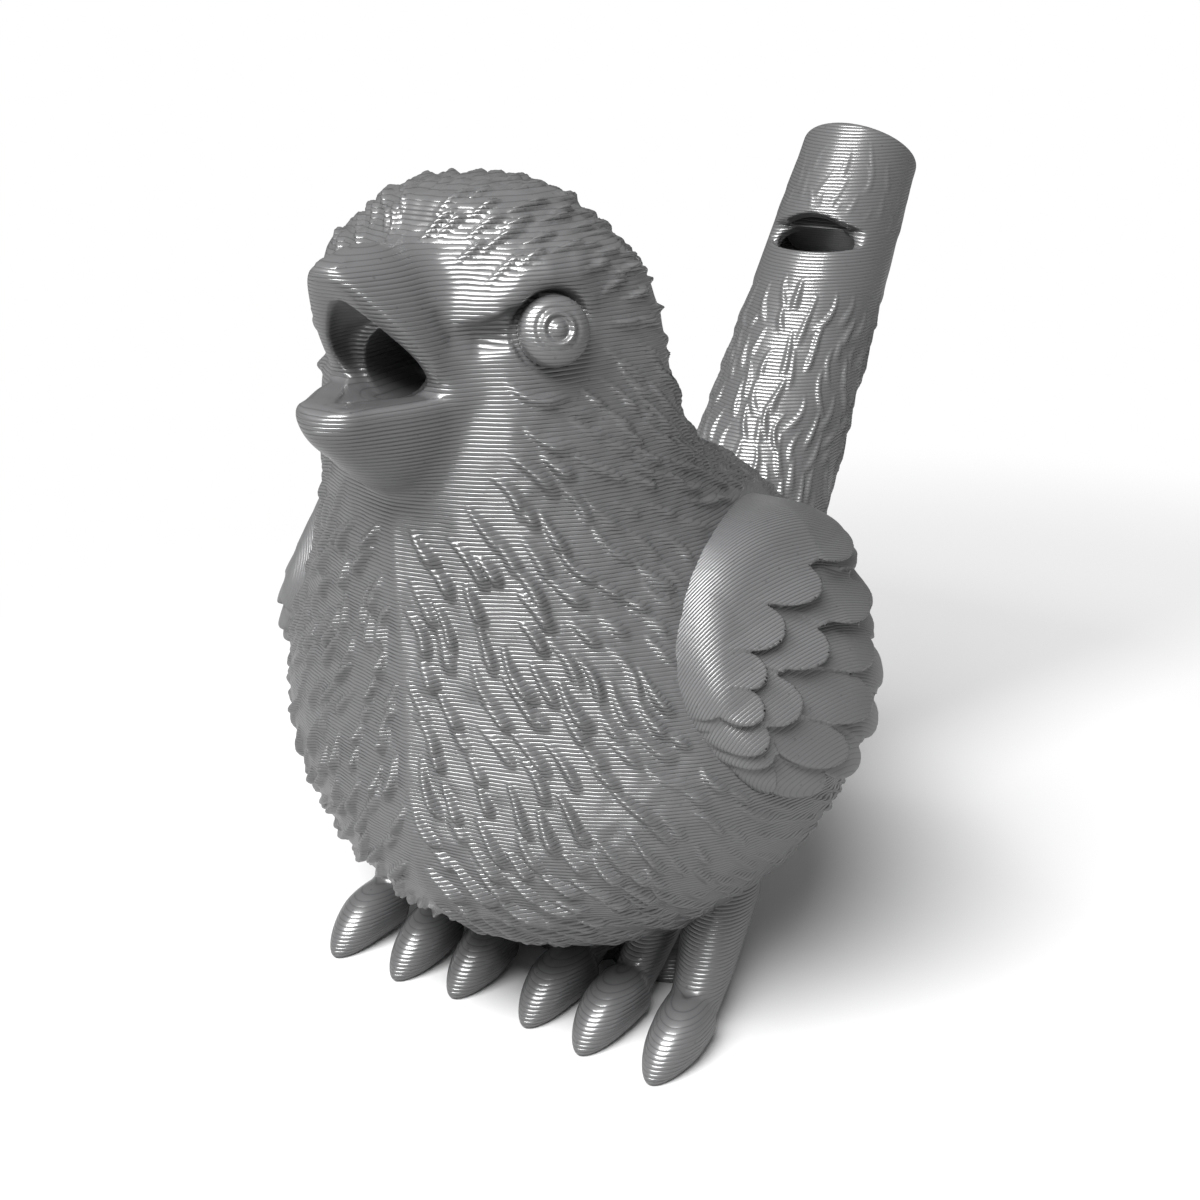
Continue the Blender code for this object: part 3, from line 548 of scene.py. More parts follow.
def cell_quads(solid, number):
    """A quad round each grid edge that crosses the surface, turned to face out."""
    quads = []
    for axis in range(3):
        one, two = [a for a in range(3) if a != axis]
        lower = [slice(1, -1)] * 3
        lower[axis] = slice(0, solid.shape[axis] - 1)
        upper = list(lower)
        upper[axis] = slice(1, solid.shape[axis])
        starts_in = solid[tuple(lower)]
        where = np.argwhere(starts_in != solid[tuple(upper)])
        inside = starts_in[where[:, 0], where[:, 1], where[:, 2]]
        base = where.copy()
        base[:, one] += 1
        base[:, two] += 1
        ring = []
        for da, db in ((0, 0), (1, 0), (1, 1), (0, 1)):
            c = base.copy()
            c[:, one] -= da
            c[:, two] -= db
            ring.append(number[c[:, 0], c[:, 1], c[:, 2]])
        quad = np.stack(ring, axis=1)
        turn = inside if axis != 1 else ~inside
        quad[turn] = quad[turn][:, ::-1]
        quads.append(quad)
    quads = np.concatenate(quads)
    return quads[(quads >= 0).all(1)]


def surface_mesh(f, low, high, h, block=8, reach=2.6):
    """Points and quads of the surface f = 0, read on a grid of spacing h."""
    low = np.asarray(low, float)
    counts = np.ceil((np.asarray(high, float) - low) / (h * block)).astype(int)
    field = read_field(f, low, counts, h, block, reach)
    solid = field < 0
    cells, shape = crossing_cells(solid)
    number = -np.ones(shape, np.int32)
    number[cells[:, 0], cells[:, 1], cells[:, 2]] = np.arange(len(cells))
    return low + h * cell_points(field, cells), cell_quads(solid, number)


def spacing(fine):
    return fine


def round_off(corners, times):
    """Cut the corners of a closed outline until it is smooth."""
    corners = np.asarray(corners, float)
    for _ in range(times):
        after = np.roll(corners, -1, axis=0)
        cut = [corners * 0.75 + after * 0.25, corners * 0.25 + after * 0.75]
        corners = np.stack(cut, axis=1).reshape(-1, 2)
    return corners


def polygon_distance(px, py, corners):
    """Distance to a closed outline in its plane, less than zero inside."""
    best = np.full(px.shape, 1e9)
    inside = np.zeros(px.shape, bool)
    for a, b in zip(corners, np.roll(corners, -1, axis=0)):
        ex, ey = b - a
        wx = px - a[0]
        wy = py - a[1]
        t = np.clip((wx * ex + wy * ey) / (ex * ex + ey * ey), 0, 1)
        best = np.minimum(best, (wx - ex * t) ** 2 + (wy - ey * t) ** 2)
        cross = ((a[1] <= py) & (b[1] > py)) | ((b[1] <= py) & (a[1] > py))
        at = a[0] + (py - a[1]) * ex / (ey if ey else 1e-9)
        inside ^= cross & (px < at)
    return np.where(inside, -1, 1) * np.sqrt(best)


PAD_ROUND = round_off(PAD, 2)


def angle_round_body(p):
    """Angle round from the beak side for points near the body, in degrees."""
    widest, _ = WIDEST_TABLE(p[:, 2])
    return np.degrees(np.arctan2(np.abs(p[:, 0]), widest - p[:, 1]))


def into_surface(way, n):
    """The part of a direction that lies in the surface, brought to length one."""
    return unit(way - n * (way * n).sum(1)[:, None])


def body_flow(p, n):
    """Way the feathers lie: down and back, turned by place."""
    angle = angle_round_body(p)
    z = p[:, 2]
    down = into_surface(np.array([0.0, 0.0, -1.0]), n)
    widest, _ = WIDEST_TABLE(z)
    around = into_surface(np.stack([widest - p[:, 1], p[:, 0], np.zeros(len(p))], axis=1), n)
    turn = np.interp(angle, [0, 30, 60, 90, 130, 180], [24, 32, 46, 62, 45, 5])
    low = np.interp(z, [6, 12, 20], [1, 1, 0])
    turn = mix(turn, np.interp(angle, [0, 40, 90, 180], [48, 66, 80, 20]), low)
    neck = np.interp(z, [42, 48, 54, 58], [0, 1, 1, 0])
    turn = mix(turn, np.interp(angle, [0, 50, 90, 180], [30, 58, 50, 0]), neck)
    crown = np.interp(z, [55, 59], [0, 1])
    turn = mix(turn, np.interp(angle, [0, 60, 110, 180], [150, 118, 75, 0]), crown)
    wave = 9 * np.sin(p[:, 2] * 0.55 + p[:, 1] * 0.35) + 7 * np.sin(p[:, 0] * 0.6 - p[:, 2] * 0.3)
    turn = np.radians(turn + wave)
    way = np.cos(turn)[:, None] * down + np.sin(turn)[:, None] * around
    back = into_surface(np.array([0.15, 1.0, 0.0]), n)
    top = np.interp(z, [58, 62], [0, 1])[:, None]
    return unit(mix(way, back, top), 1e-6)


def feather_share(p):
    """1 where feathers may lie, 0 on the beak, face, eye, wing and pipe."""
    x = np.abs(p[:, 0])
    y = p[:, 1]
    z = p[:, 2]
    a, b, c = BARE_FACE_HALF
    face = np.sqrt((x / a) ** 2 + ((y - BARE_FACE[1]) / b) ** 2 + ((z - BARE_FACE[2]) / c) ** 2)
    share = np.clip((face - 1.0) / 0.12, 0, 1)
    eye = np.sqrt((x - EYE_SEAT[0]) ** 2 + (y - EYE_SEAT[1]) ** 2 + (z - EYE_SEAT[2]) ** 2)
    share *= np.clip((eye - 3.7) / 0.6, 0, 1)
    share *= np.clip((z - 1.0) / 1.0, 0, 1)
    from_wing = polygon_distance(y, z, PAD_ROUND)
    share *= np.where(x > 8.0, np.clip((from_wing + 0.2) / 1.1, 0, 1), 1.0)
    q = p - PIPE_ANCHOR
    along = q @ PIPE_AXIS
    from_pipe = np.linalg.norm(q - along[:, None] * PIPE_AXIS, axis=1)
    from_pipe = np.where(along > -14.5, from_pipe, 99.0)
    return share * np.clip((from_pipe - 8.6) / 0.6, 0, 1)


def stroke_sizes(p, rng):
    """Length, half width, height and spacing of the feather strokes by place."""
    angle = angle_round_body(p)
    z = p[:, 2]
    sizes = [
        np.interp(angle, [0, 60, 100, 180], [3.5, 3.7, 4.2, 4.6]),
        np.interp(angle, [0, 40, 75, 100, 180], [0.54, 0.54, 0.45, 0.38, 0.46]),
        np.interp(angle, [0, 30, 55, 75, 180], [0.72, 0.62, 0.44, 0.34, 0.42]),
        np.interp(angle, [0, 60, 90, 180], [1.95, 1.9, 1.75, 2.0]),
    ]
    low = np.interp(z, [10, 17], [1, 0])
    neck = np.interp(z, [42, 47, 59, 61], [0, 1, 1, 0]) * np.interp(angle, [45, 70], [0, 1])
    crown = np.interp(z, [58, 61], [0, 1])
    zones = (
        (low, (3.4, 0.42, np.interp(angle, [20, 60], [0.52, 0.34]), 1.6)),
        (neck, (3.4, 0.3, 0.42, 1.3)),
        (crown, (2.9, 0.36, 0.42, 1.4)),
    )
    for share, values in zones:
        sizes = [mix(size, value, share) for size, value in zip(sizes, values)]
    length, half, tall, gap = sizes
    vary = rng.uniform(0.6, 1.25, (3, len(p)))
    return length * vary[0], half * (0.6 + 0.4 * vary[1]), tall * vary[2], gap


def spread_seeds(points, gaps, rng):
    """Pick points at random that keep their own gap from each other."""
    cell = 3.2
    taken = {}
    chosen = []
    for i in rng.permutation(len(points)):
        a, b, c = (points[i] // cell).astype(int)
        near = []
        for da, db, dc in product((-1, 0, 1), repeat=3):
            near += taken.get((a + da, b + db, c + dc), [])
        if all(((points[i] - points[j]) ** 2).sum() >= (0.5 * (gaps[i] + gaps[j])) ** 2 for j in near):
            taken.setdefault((a, b, c), []).append(i)
            chosen.append(i)
    return np.array(chosen)


def trace_strokes(f, flow, seeds, length, rng, bend=18.0):
    """Walk each stroke over the surface; rows of points, one row a stroke."""
    p, n = seat(f, seeds)
    curl = np.radians(rng.normal(0.0, bend, len(p)))
    count = int(np.ceil(length.max() / STROKE_STEP)) + 1
    rows = [p]
    for k in range(1, count):
        way = flow(p, n)
        side = np.cross(n, way)
        turn = curl * (k / count * 2 - 0.6)
        way = np.cos(turn)[:, None] * way + np.sin(turn)[:, None] * side
        p, n = seat(f, p + way * STROKE_STEP, rounds=1)
        rows.append(p)
    return np.stack(rows, axis=1)


def stroke_relief(verts, rows, length, half, tall):
    """Height that the strokes add at each vertex, from the nearest stroke points."""
    share = np.arange(rows.shape[1])[None, :] * STROKE_STEP / length[:, None]
    keep = share <= 1.0
    # Strokes widen and rise toward their end, which is round and soft
    grow = np.clip(share / 0.75, 0, 1) ** 0.75
    left = 1.04 - share
    width = half[:, None] * (0.35 + 0.65 * grow) * np.sqrt(np.clip(left / 0.16, 0, 1))
    rise = tall[:, None] * (0.25 + 0.75 * grow) * np.clip(left / 0.34, 0, 1)
    p = rows[keep]
    w = np.maximum(width[keep], 0.08)
    r = rise[keep]
    t = unit(np.gradient(rows, axis=1), 1e-6)[keep]
    # Stroke points are found by the cell they lie in, through one whole number a cell
    cell = 1.1
    hashing = np.array([73856093, 19349663, 83492791])
    keys = np.floor(p / cell).astype(np.int64) @ hashing
    order = np.argsort(keys, kind="stable")
    keys = keys[order]
    cells = np.floor(verts / cell).astype(np.int64)
    result = np.zeros(len(verts))
    for step in product((-1, 0, 1), repeat=3):
        wanted = (cells + np.array(step)) @ hashing
        first = np.searchsorted(keys, wanted, "left")
        last = np.searchsorted(keys, wanted, "right")
        for k in range(int((last - first).max(initial=0))):
            use = np.nonzero(first + k < last)[0]
            j = order[first[use] + k]
            d = verts[use] - p[j]
            lead = (d * t[j]).sum(1)
            far2 = (d * d).sum(1) - lead * lead
            over = np.maximum(np.abs(lead) - STROKE_STEP * 0.55, 0.0)
            u2 = (np.maximum(far2, 0) + over * over * 2.0) / (w[j] * w[j])
            h = r[j] * np.clip(1 - u2, 0, 1) ** 1.25
            better = h > result[use]
            result[use[better]] = h[better]
    return result


def soft_noise(p, size, seed):
    """Smooth uneven value from a few crossed waves of two sizes."""
    rng = np.random.default_rng(seed)
    total = np.zeros(len(p))
    waves = 7
    for scale in (1.0, 0.5):
        for _ in range(waves):
            way = rng.normal(size=3)
            way /= np.linalg.norm(way)
            stretch = rng.uniform(0.7, 1.4)
            start = rng.uniform(0, 6.28)
            total += scale * np.sin(p @ way * (2 * math.pi / (size * scale)) * stretch + start)
    return total / waves


def body_piece():
    """Left half of body, head and beak with its feathers; a mirror adds the rest."""
    h = spacing(BODY_GRID)
    verts, quads = surface_mesh(head_distance, (-h / 2, -17.0, -0.6), (26.0, 50.0, 66.5), h)
    verts, normals = seat(head_distance, verts)
    rng = np.random.default_rng(11)
    may = feather_share(verts)
    pool = verts[(may > 0.5) & (verts[:, 0] > 0.25)]
    pool = pool[rng.permutation(len(pool))[:BODY_SEEDS]]
    length, half, tall, gap = stroke_sizes(pool, rng)
    pick = spread_seeds(pool, gap, rng)
    rows = trace_strokes(head_distance, body_flow, pool[pick], length[pick], rng)
    relief = stroke_relief(verts, rows, length[pick], half[pick], tall[pick]) * may
    wavy = soft_noise(verts, 3.4, 5) * 0.15 * may
    lift = (relief + wavy) * np.clip(verts[:, 0] / 0.6, 0, 1)
    verts = verts + normals * lift[:, None]
    verts[:, 2] = np.maximum(verts[:, 2], 0.0)
    verts[:, 0] = np.where(np.abs(verts[:, 0]) < 0.02, 0.0, verts[:, 0])
    return verts, quads


def feather_row(y, z, base, ends, least):
    """Distance to one row's outline, and how far toward a feather's tip a point lies."""
    d = polygon_distance(y, z, base) - ROW_MARGIN
    nearest = np.full(y.shape, 1.6)
    tip = np.zeros(y.shape)
    for cy, cz, uy, uz, vy, vz in ends:
        inverse = np.linalg.inv(np.array([[uy, vy], [uz, vz]]))
        a = inverse[0, 0] * (y - cy) + inverse[0, 1] * (z - cz)
        b = inverse[1, 0] * (y - cy) + inverse[1, 1] * (z - cz)
        g = np.sqrt(a * a + b * b + 1e-6)
        ga = (a * inverse[0, 0] + b * inverse[1, 0]) / g
        gb = (a * inverse[0, 1] + b * inverse[1, 1]) / g
        d = np.minimum(d, (g - 1.0) / np.maximum(np.sqrt(ga * ga + gb * gb), 0.1))
        near = g < nearest
        nearest = np.where(near, g, nearest)
        toward = np.clip((a + b) * 0.6, least, 1.0) * np.clip(1.6 - g, 0, 0.6) / 0.6
        tip = np.where(near, toward, tip)
    return d, tip


def wing_distance(x, y, z):
    """Rows of feathers on the body's side, each row standing out over the next."""
    x = np.abs(x)
    skin = body_distance(x, y, z)
    pad = polygon_distance(y, z, PAD_ROUND)
    share = np.interp(y, WING_PLACES, WING_SHARES)
    whole = None
    for base, ends, thick in zip(ROW_BASES, ROW_ENDS, ROW_THICKNESS):
        row, tip = feather_row(y, z, base, ends, 0.0 if whole is None else -0.7)
        top = skin - thick * share - TIP_LIFT * tip
        plate = smooth_max(smooth_max(top, pad, 1.5), row, 0.16)
        whole = plate if whole is None else np.minimum(whole, plate)
    return np.maximum(whole, -0.3 - skin)


def wing_piece():
    verts, quads = surface_mesh(wing_distance, (8.0, -4.5, 20.5), (28.0, 25.5, 46.5), spacing(WING_GRID))
    return seat(wing_distance, verts, rounds=2)[0], quads


def claw_distance(x, along, z, tip_x, back_x):
    """Egg with a blunt point, lying on the floor."""
    share = np.clip((along - SPLAY_START) / SPLAY_LENGTH, 0.0, 1.0)
    height, _ = CLAW_TABLE(along)
    r = np.sqrt((x - tip_x - (back_x - tip_x) * share) ** 2 + (z - height) ** 2 + 1e-6)
    before = np.maximum(CLAW_WIDEST - along, 0.0) / CLAW_WIDEST
    across = r / CLAW_RADIUS
    level = before ** CLAW_TAPER + across ** CLAW_ROUND - 1.0
    slope = np.sqrt(
        (CLAW_TAPER / CLAW_WIDEST * before ** (CLAW_TAPER - 1)) ** 2
        + (CLAW_ROUND / CLAW_RADIUS * across ** (CLAW_ROUND - 1)) ** 2)
    return smooth_max(level / np.maximum(slope, 0.25), along - CLAW_END, 1.0)


def toe_place(toe, along, height):
    """Point on a toe's middle line, which splays from the claw to the belly."""
    tip_x, back_x, tip_y = toe
    share = min(max((along - SPLAY_START) / SPLAY_LENGTH, 0.0), 1.0)
    return np.array([tip_x + (back_x - tip_x) * share, tip_y + along, height])


def foot_distance(x, y, z):
    """Three toes with their claws, joined by a low pad under the belly."""
    x = np.abs(x)
    whole = None
    for toe, limb in zip(TOES, LIMBS):
        tip_x, back_x, tip_y = toe
        claw = claw_distance(x, y - tip_y, z, tip_x, back_x)
        points = [toe_place(toe, along, height) for along, height, _ in limb]
        bar = capsule_distance(x, y, z, points, [radius for _, _, radius in limb])
        one = smooth_min(claw, bar, 0.35)
        whole = one if whole is None else smooth_min(whole, one, 0.5)
    a, b, c = FOOT_PAD_HALF
    pad = np.sqrt(((x - FOOT_PAD[0]) / a) ** 2 + ((y - FOOT_PAD[1]) / b) ** 2 + (z / c) ** 2 + 1e-9)
    whole = smooth_min(whole, (pad - 1.0) * 5.0, 0.8)
    return smooth_max(whole, -z, 0.25)


def foot_piece():
    verts, quads = surface_mesh(foot_distance, (0.6, -2.0, -0.8), (19.5, 19.0, 13.5), spacing(FOOT_GRID))
    return seat(foot_distance, verts, rounds=2)[0], quads


def pipe_coordinates(y, z):
    """How far a point lies in front of the pipe's axis, and how far along it."""
    front = -(y - PIPE_ANCHOR[1]) * PIPE_AXIS[2] + (z - PIPE_ANCHOR[2]) * PIPE_AXIS[1]
    along = (y - PIPE_ANCHOR[1]) * PIPE_AXIS[1] + (z - PIPE_ANCHOR[2]) * PIPE_AXIS[2]
    return front, along


def pipe_radius(along):
    return np.interp(along, [PIPE_BOTTOM, PIPE_TOP], [PIPE_BOTTOM_RADIUS, PIPE_TOP_RADIUS])


def pipe_distance(x, y, z):
    """Tapered tube; the window faces the bird's head."""
    front, along = pipe_coordinates(y, z)
    r = np.sqrt(x * x + front * front + 1e-9)
    d = r - pipe_radius(along)
    d = smooth_max(d, along - PIPE_TOP, 0.5)
    d = smooth_max(d, PIPE_BOTTOM - along, 0.3)
    d = smooth_max(d, BORE - r, 0.3)
    middle = along - WINDOW_TOP + HOLE_DROP
    web = np.maximum(np.abs(front - WEB_FRONT) - WEB_HALF[0], np.abs(middle) - WEB_HALF[1])
    d = np.minimum(d, np.maximum(web, r - BORE - 0.3))
    reach = np.sqrt(np.clip(1.0 - (x / WINDOW_HALF) ** 2, 0.0, 1.0))
    sill = WINDOW_TOP - WINDOW_LENGTH * reach
    cut = smooth_max(along - WINDOW_TOP, (sill - along) * 0.8, 0.3)
    cut = smooth_max(cut, WINDOW_DEPTH - front, 0.4)
    d = smooth_max(d, -cut, 0.35)
    wide, long = HOLE_HALF
    oval = (np.sqrt((x / wide) ** 2 + (middle / long) ** 2 + 1e-9) - 1.0) * long
    return smooth_max(d, -np.maximum(oval, -front), 0.25)


def pipe_flow(p, n):
    """Way the ridges of the bark lie: down the pipe, swinging a little."""
    down = into_surface(-PIPE_AXIS, n)
    side = np.cross(n, down)
    turn = np.radians(14 * np.sin(p[:, 2] * 0.8 + p[:, 0] * 0.9) + 8 * np.sin(p[:, 1] * 1.3))
    return np.cos(turn)[:, None] * down + np.sin(turn)[:, None] * side


def pipe_piece():
    """The tail pipe with its bark, which fades toward the blowing end."""
    verts, quads = surface_mesh(pipe_distance, (-8.6, 29.0, 15.5), (8.6, 71.0, 66.4), spacing(PIPE_GRID))
    verts, normals = seat(pipe_distance, verts, rounds=2)
    rng = np.random.default_rng(4)
    front, along = pipe_coordinates(verts[:, 1], verts[:, 2])
    outer = np.clip((np.hypot(verts[:, 0], front) - pipe_radius(along) + 0.4) / 0.3, 0, 1)
    near_window = np.clip((np.maximum(np.abs(along - 13.6) - 2.8, -front) - 0.2) / 0.8, 0, 1)
    may = outer * near_window * np.clip((PIPE_TOP - 0.8 - along) / 0.8, 0, 1)
    rough = np.interp(along, [-21, 9, 12, 18, 26], [1.0, 1.0, 0.5, 0.35, 0.25])
    pool = verts[(may > 0.9) & (along > -16)]
    pool = pool[rng.permutation(len(pool))[:PIPE_SEEDS]]
    pick = spread_seeds(pool, np.full(len(pool), 1.75), rng)
    count = len(pick)
    length = rng.uniform(2.6, 4.8, count)
    rows = trace_strokes(pipe_distance, pipe_flow, pool[pick], length, rng, bend=25.0)
    half = rng.uniform(0.34, 0.48, count)
    tall = rng.uniform(0.2, 0.34, count)
    relief = stroke_relief(verts, rows, length, half, tall)
    wavy = soft_noise(verts, 3.6, 8) * 0.07
    verts = verts + normals * ((relief - 0.12 + wavy) * may * rough)[:, None]
    return verts, quads


def bump(distance, width, power=2):
    """Smooth rise of height 1 round a place."""
    return math.exp(-(distance / width) ** power)


def eye_lift(r, angle, past_dome):
    """Height over the eye's seat: dome with a broken ring, a moat and a pupil."""
    dome = DOME_HEIGHT * (1 - min(r / EYE_RADIUS, 1.0) ** 2.8) ** 0.6 + DOME_LIFT
    if past_dome > 0:
        return dome * (1 - past_dome) - EYE_SINK * past_dome
    opening = 0.5 + 0.5 * math.tanh(3.0 * (0.72 - math.cos(angle - 3.9)))
    ring = bump(r - 1.0, 0.2) * opening
    moat = bump(r - 0.68, 0.16) + 0.8 * bump(r - 1.32, 0.2)
    return dome + 0.16 * ring + 0.2 * bump(r, 0.42, 4) - 0.12 * moat


def eye_piece(side):
    """Rings of points from the middle of the dome out to its sunk rim."""
    up = np.array([0.0, 0.0, 1.0]) - EYE_AXIS * EYE_AXIS[2]
    up /= np.linalg.norm(up)
    right = np.cross(up, EYE_AXIS)
    verts = []
    for i in range(1, EYE_RINGS + 1):
        share = i / EYE_RINGS
        past_dome = max(share - DOME_SHARE, 0.0) / (1 - DOME_SHARE)
        if past_dome > 0:
            r = EYE_RADIUS * mix(DOME_EDGE, 1.0, math.sin(past_dome * math.pi))
        else:
            r = EYE_RADIUS * share / DOME_SHARE * DOME_EDGE
        for k in range(EYE_SPOKES):
            angle = 2 * math.pi * k / EYE_SPOKES
            across = (right * math.cos(angle) + up * math.sin(angle)) * r
            verts.append(EYE_SEAT + EYE_AXIS * eye_lift(r, angle, past_dome) + across)
    faces = []
    for i, k in product(range(EYE_RINGS - 1), range(EYE_SPOKES)):
        inner = i * EYE_SPOKES
        outer = inner + EYE_SPOKES
        n = (k + 1) % EYE_SPOKES
        faces.append((inner + k, inner + n, outer + n, outer + k))
    return np.array(verts) * np.array([side, 1, 1]), np.array(faces)[:, ::side]


def close_eye(thing):
    """Fill the middle and the back of the eye."""
    bm = bmesh.new()
    bm.from_mesh(thing.data)
    bmesh.ops.holes_fill(bm, edges=bm.edges, sides=EYE_SPOKES + 1)
    bmesh.ops.recalc_face_normals(bm, faces=bm.faces)
    for face in bm.faces:
        face.smooth = True
    bm.to_mesh(thing.data)
    bm.free()


def mesh_object(name, verts, faces, material):
    """Smooth object from points in millimetres, moved to the frame's place."""
    mesh = bpy.data.meshes.new(name)
    placed = (np.asarray(verts, float) + np.array([0.0, SHIFT_Y, 0.0])) * MM
    faces = np.asarray(faces, np.int32)
    mesh.vertices.add(len(placed))
    mesh.vertices.foreach_set("co", placed.astype(np.float32).ravel())
    mesh.loops.add(faces.size)
    mesh.loops.foreach_set("vertex_index", faces.ravel())
    mesh.polygons.add(len(faces))
    mesh.polygons.foreach_set("loop_start", np.arange(0, faces.size, faces.shape[1], dtype=np.int32))
    mesh.update(calc_edges=True)
    mesh.validate()
    mesh.polygons.foreach_set("use_smooth", np.ones(len(faces), bool))
    mesh.materials.append(material)
    thing = bpy.data.objects.new(name, mesh)
    bpy.context.scene.collection.objects.link(thing)
    return thing


class Graph:
    """Short ways to add nodes to a tree and to join them."""

    def __init__(self, tree):
        self.nodes = tree.nodes
        self.links = tree.links

    def add(self, kind, **settings):
        node = self.nodes.new("ShaderNode" + kind)
        for name, value in settings.items():
            setattr(node, name, value)
        return node

    def feed(self, socket, value):
        """Give a socket a plain value or the output of another node."""
        if isinstance(value, bpy.types.NodeSocket):
            self.links.new(value, socket)
        else:
            socket.default_value = value

    def math(self, operation, *values):
        node = self.add("Math", operation=operation)
        for socket, value in zip(node.inputs, values):
            self.feed(socket, value)
        return node.outputs[0]

    def vector(self, operation, first, second=None, scale=None):
        node = self.add("VectorMath", operation=operation)
        self.feed(node.inputs[0], first)
        if second is not None:
            self.feed(node.inputs[1], second)
        if scale is not None:
            self.feed(node.inputs["Scale"], scale)
        return node.outputs["Value" if operation in ("DOT_PRODUCT", "DISTANCE") else "Vector"]

    def noise(self, place, scale, detail):
        node = self.add("TexNoise")
        node.inputs["Scale"].default_value = scale
        node.inputs["Detail"].default_value = detail
        self.links.new(place, node.inputs["Vector"])
        return node.outputs["Fac"]

    def mix_shaders(self, share, first, second):
        node = self.add("MixShader")
        for socket, value in zip(node.inputs, (share, first, second)):
            self.links.new(value, socket)
        return node.outputs[0]


def layered_normal(graph, centred, way, ridge):
    """Normal tilted along the layers' way, as round beads would tilt it."""
    edge = graph.math("POWER", graph.math("ABSOLUTE", graph.math("MULTIPLY", centred, 2.0)), 1.7)
    tilt = graph.math("MULTIPLY", graph.math("SIGN", centred), graph.math("MULTIPLY", edge, ridge * 2.0))
    normal = graph.add("NewGeometry").outputs["Normal"]
    dot = graph.vector("DOT_PRODUCT", normal, way)
    in_surface = graph.vector("SUBTRACT", way, graph.vector("SCALE", normal, scale=dot))
    steep = graph.math("SUBTRACT", 1.0, graph.math("MULTIPLY", dot, dot))
    leaned = graph.vector("SCALE", in_surface, scale=graph.math("MULTIPLY", tilt, steep))
    return graph.vector("NORMALIZE", graph.vector("ADD", normal, leaned))


def plastic(name, gloss=0.2, coat=1.0, colour=0.12, ridge=0.62, layer=LAYER, way=(0.0, 0.0, 1.0)):
    """Grey printed plastic: layer lines across one way, clouded grey, and painted shade in the layer
    valleys and small pores.
    """
    material = bpy.data.materials.new(name)
    material.use_nodes = True
    graph = Graph(material.node_tree)
    shader = graph.nodes["Principled BSDF"]
    shader.inputs["Metallic"].default_value = 0.0
    shader.inputs["IOR"].default_value = 1.75
    shader.inputs["Coat Weight"].default_value = coat
    shader.inputs["Coat Roughness"].default_value = gloss
    shader.inputs["Coat IOR"].default_value = 1.7
    place = graph.add("TexCoord").outputs["Object"]
    # Place in the layer, from -0.5 to 0.5, with lines that wander a little
    level = graph.math("MULTIPLY", graph.vector("DOT_PRODUCT", place, way), 1.0 / (layer * MM))
    wobble = graph.math("MULTIPLY", graph.noise(place, 260.0, 3.0), 0.25)
    centred = graph.math("SUBTRACT", graph.math("FRACT", graph.math("ADD", level, wobble)), 0.5)
    normal = layered_normal(graph, centred, way, ridge)
    graph.feed(shader.inputs["Normal"], normal)
    graph.feed(shader.inputs["Coat Normal"], normal)
    # Grey that is a little uneven at random, with painted shade: darker in the valley between layers and
    # in the pores, standing in for the shade that falls in these hollows
    cloud = graph.noise(place, 90.0, 4.0)
    shade = graph.math("ADD", graph.math("MULTIPLY", cloud, colour * 0.3), colour * 0.87)
    valley_shade = graph.math("POWER", graph.math("ABSOLUTE", graph.math("MULTIPLY", centred, 2.0)), 8.0)
    pores = graph.add("TexVoronoi")
    pores.inputs["Scale"].default_value = 1000.0
    graph.feed(pores.inputs["Vector"], place)
    pore_shade = graph.math("LESS_THAN", pores.outputs["Distance"], 0.1)
    # Painted shade: the grey is darkened in the layer valleys and in the pore pits
    for dark, depth in ((valley_shade, 0.6), (pore_shade, 0.3)):
        kept = graph.math("SUBTRACT", 1.0, graph.math("MULTIPLY", dark, depth))
        shade = graph.math("MULTIPLY", shade, kept)
    tint = graph.add("CombineColor")
    for socket, value in zip(tint.inputs, (shade, shade, graph.math("MULTIPLY", shade, 1.025))):
        graph.feed(socket, value)
    graph.feed(shader.inputs["Base Color"], tint.outputs[0])
    rough = graph.math("ADD", graph.math("MULTIPLY", cloud, 0.16), 0.32)
    graph.feed(shader.inputs["Roughness"], rough)
    return material


def wing_plastic(word, side):
    """Plastic with finer layer lines that lean the opposite way on each wing, and a grey lighter than the
    body's as painted light for the brighter wing pad.
    """
    # colour=0.142 is painted light: the same plastic as the body, made lighter to stand in for more light
    # on the wing
    return plastic(
        "grey_print_wing_" + word, gloss=0.28, coat=0.6, colour=0.142, layer=WING_LAYER,
        way=(0.9 * side, -0.25, -0.36))


def stand_for(piece, *nodes):
    """Let a piece move with the root in place of the named nodes."""
    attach(piece, "root")
    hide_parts(*nodes)


def dress_bird():
    grey = plastic("grey_print", ridge=0.52)
    wing_greys = {word: wing_plastic(word, side) for word, side in SIDES}
    foot_grey = plastic("grey_print_foot", ridge=0.42)
    eye_grey = plastic("grey_print_eye", gloss=0.16, ridge=0.2)
    body = mesh_object("body_form", *body_piece(), grey)
    mirror = body.modifiers.new("both_sides", "MIRROR")
    mirror.merge_threshold = 0.00005
    stand_for(body, "body_shell_left", "body_shell_right", "beak_upper", "beak_lower")
    wing = wing_piece()
    foot = foot_piece()
    for word, side in SIDES:
        for kind, (verts, quads), surface in (("wing", wing, wing_greys[word]), ("foot", foot, foot_grey)):
            placed = verts * np.array([side, 1, 1])
            piece = mesh_object(kind + "_form_" + word, placed, quads[:, ::side], surface)
            stand_for(piece, kind + "_" + word)
        eye = mesh_object("eye_form_" + word, *eye_piece(side), eye_grey)
        close_eye(eye)
        stand_for(eye, "eye_" + word)
    pipe = mesh_object("pipe_form", *pipe_piece(), grey)
    stand_for(pipe, "tail_pipe")
    plug = bpy.data.objects["fipple_block"]
    plug.data.materials.clear()
    plug.data.materials.append(grey)


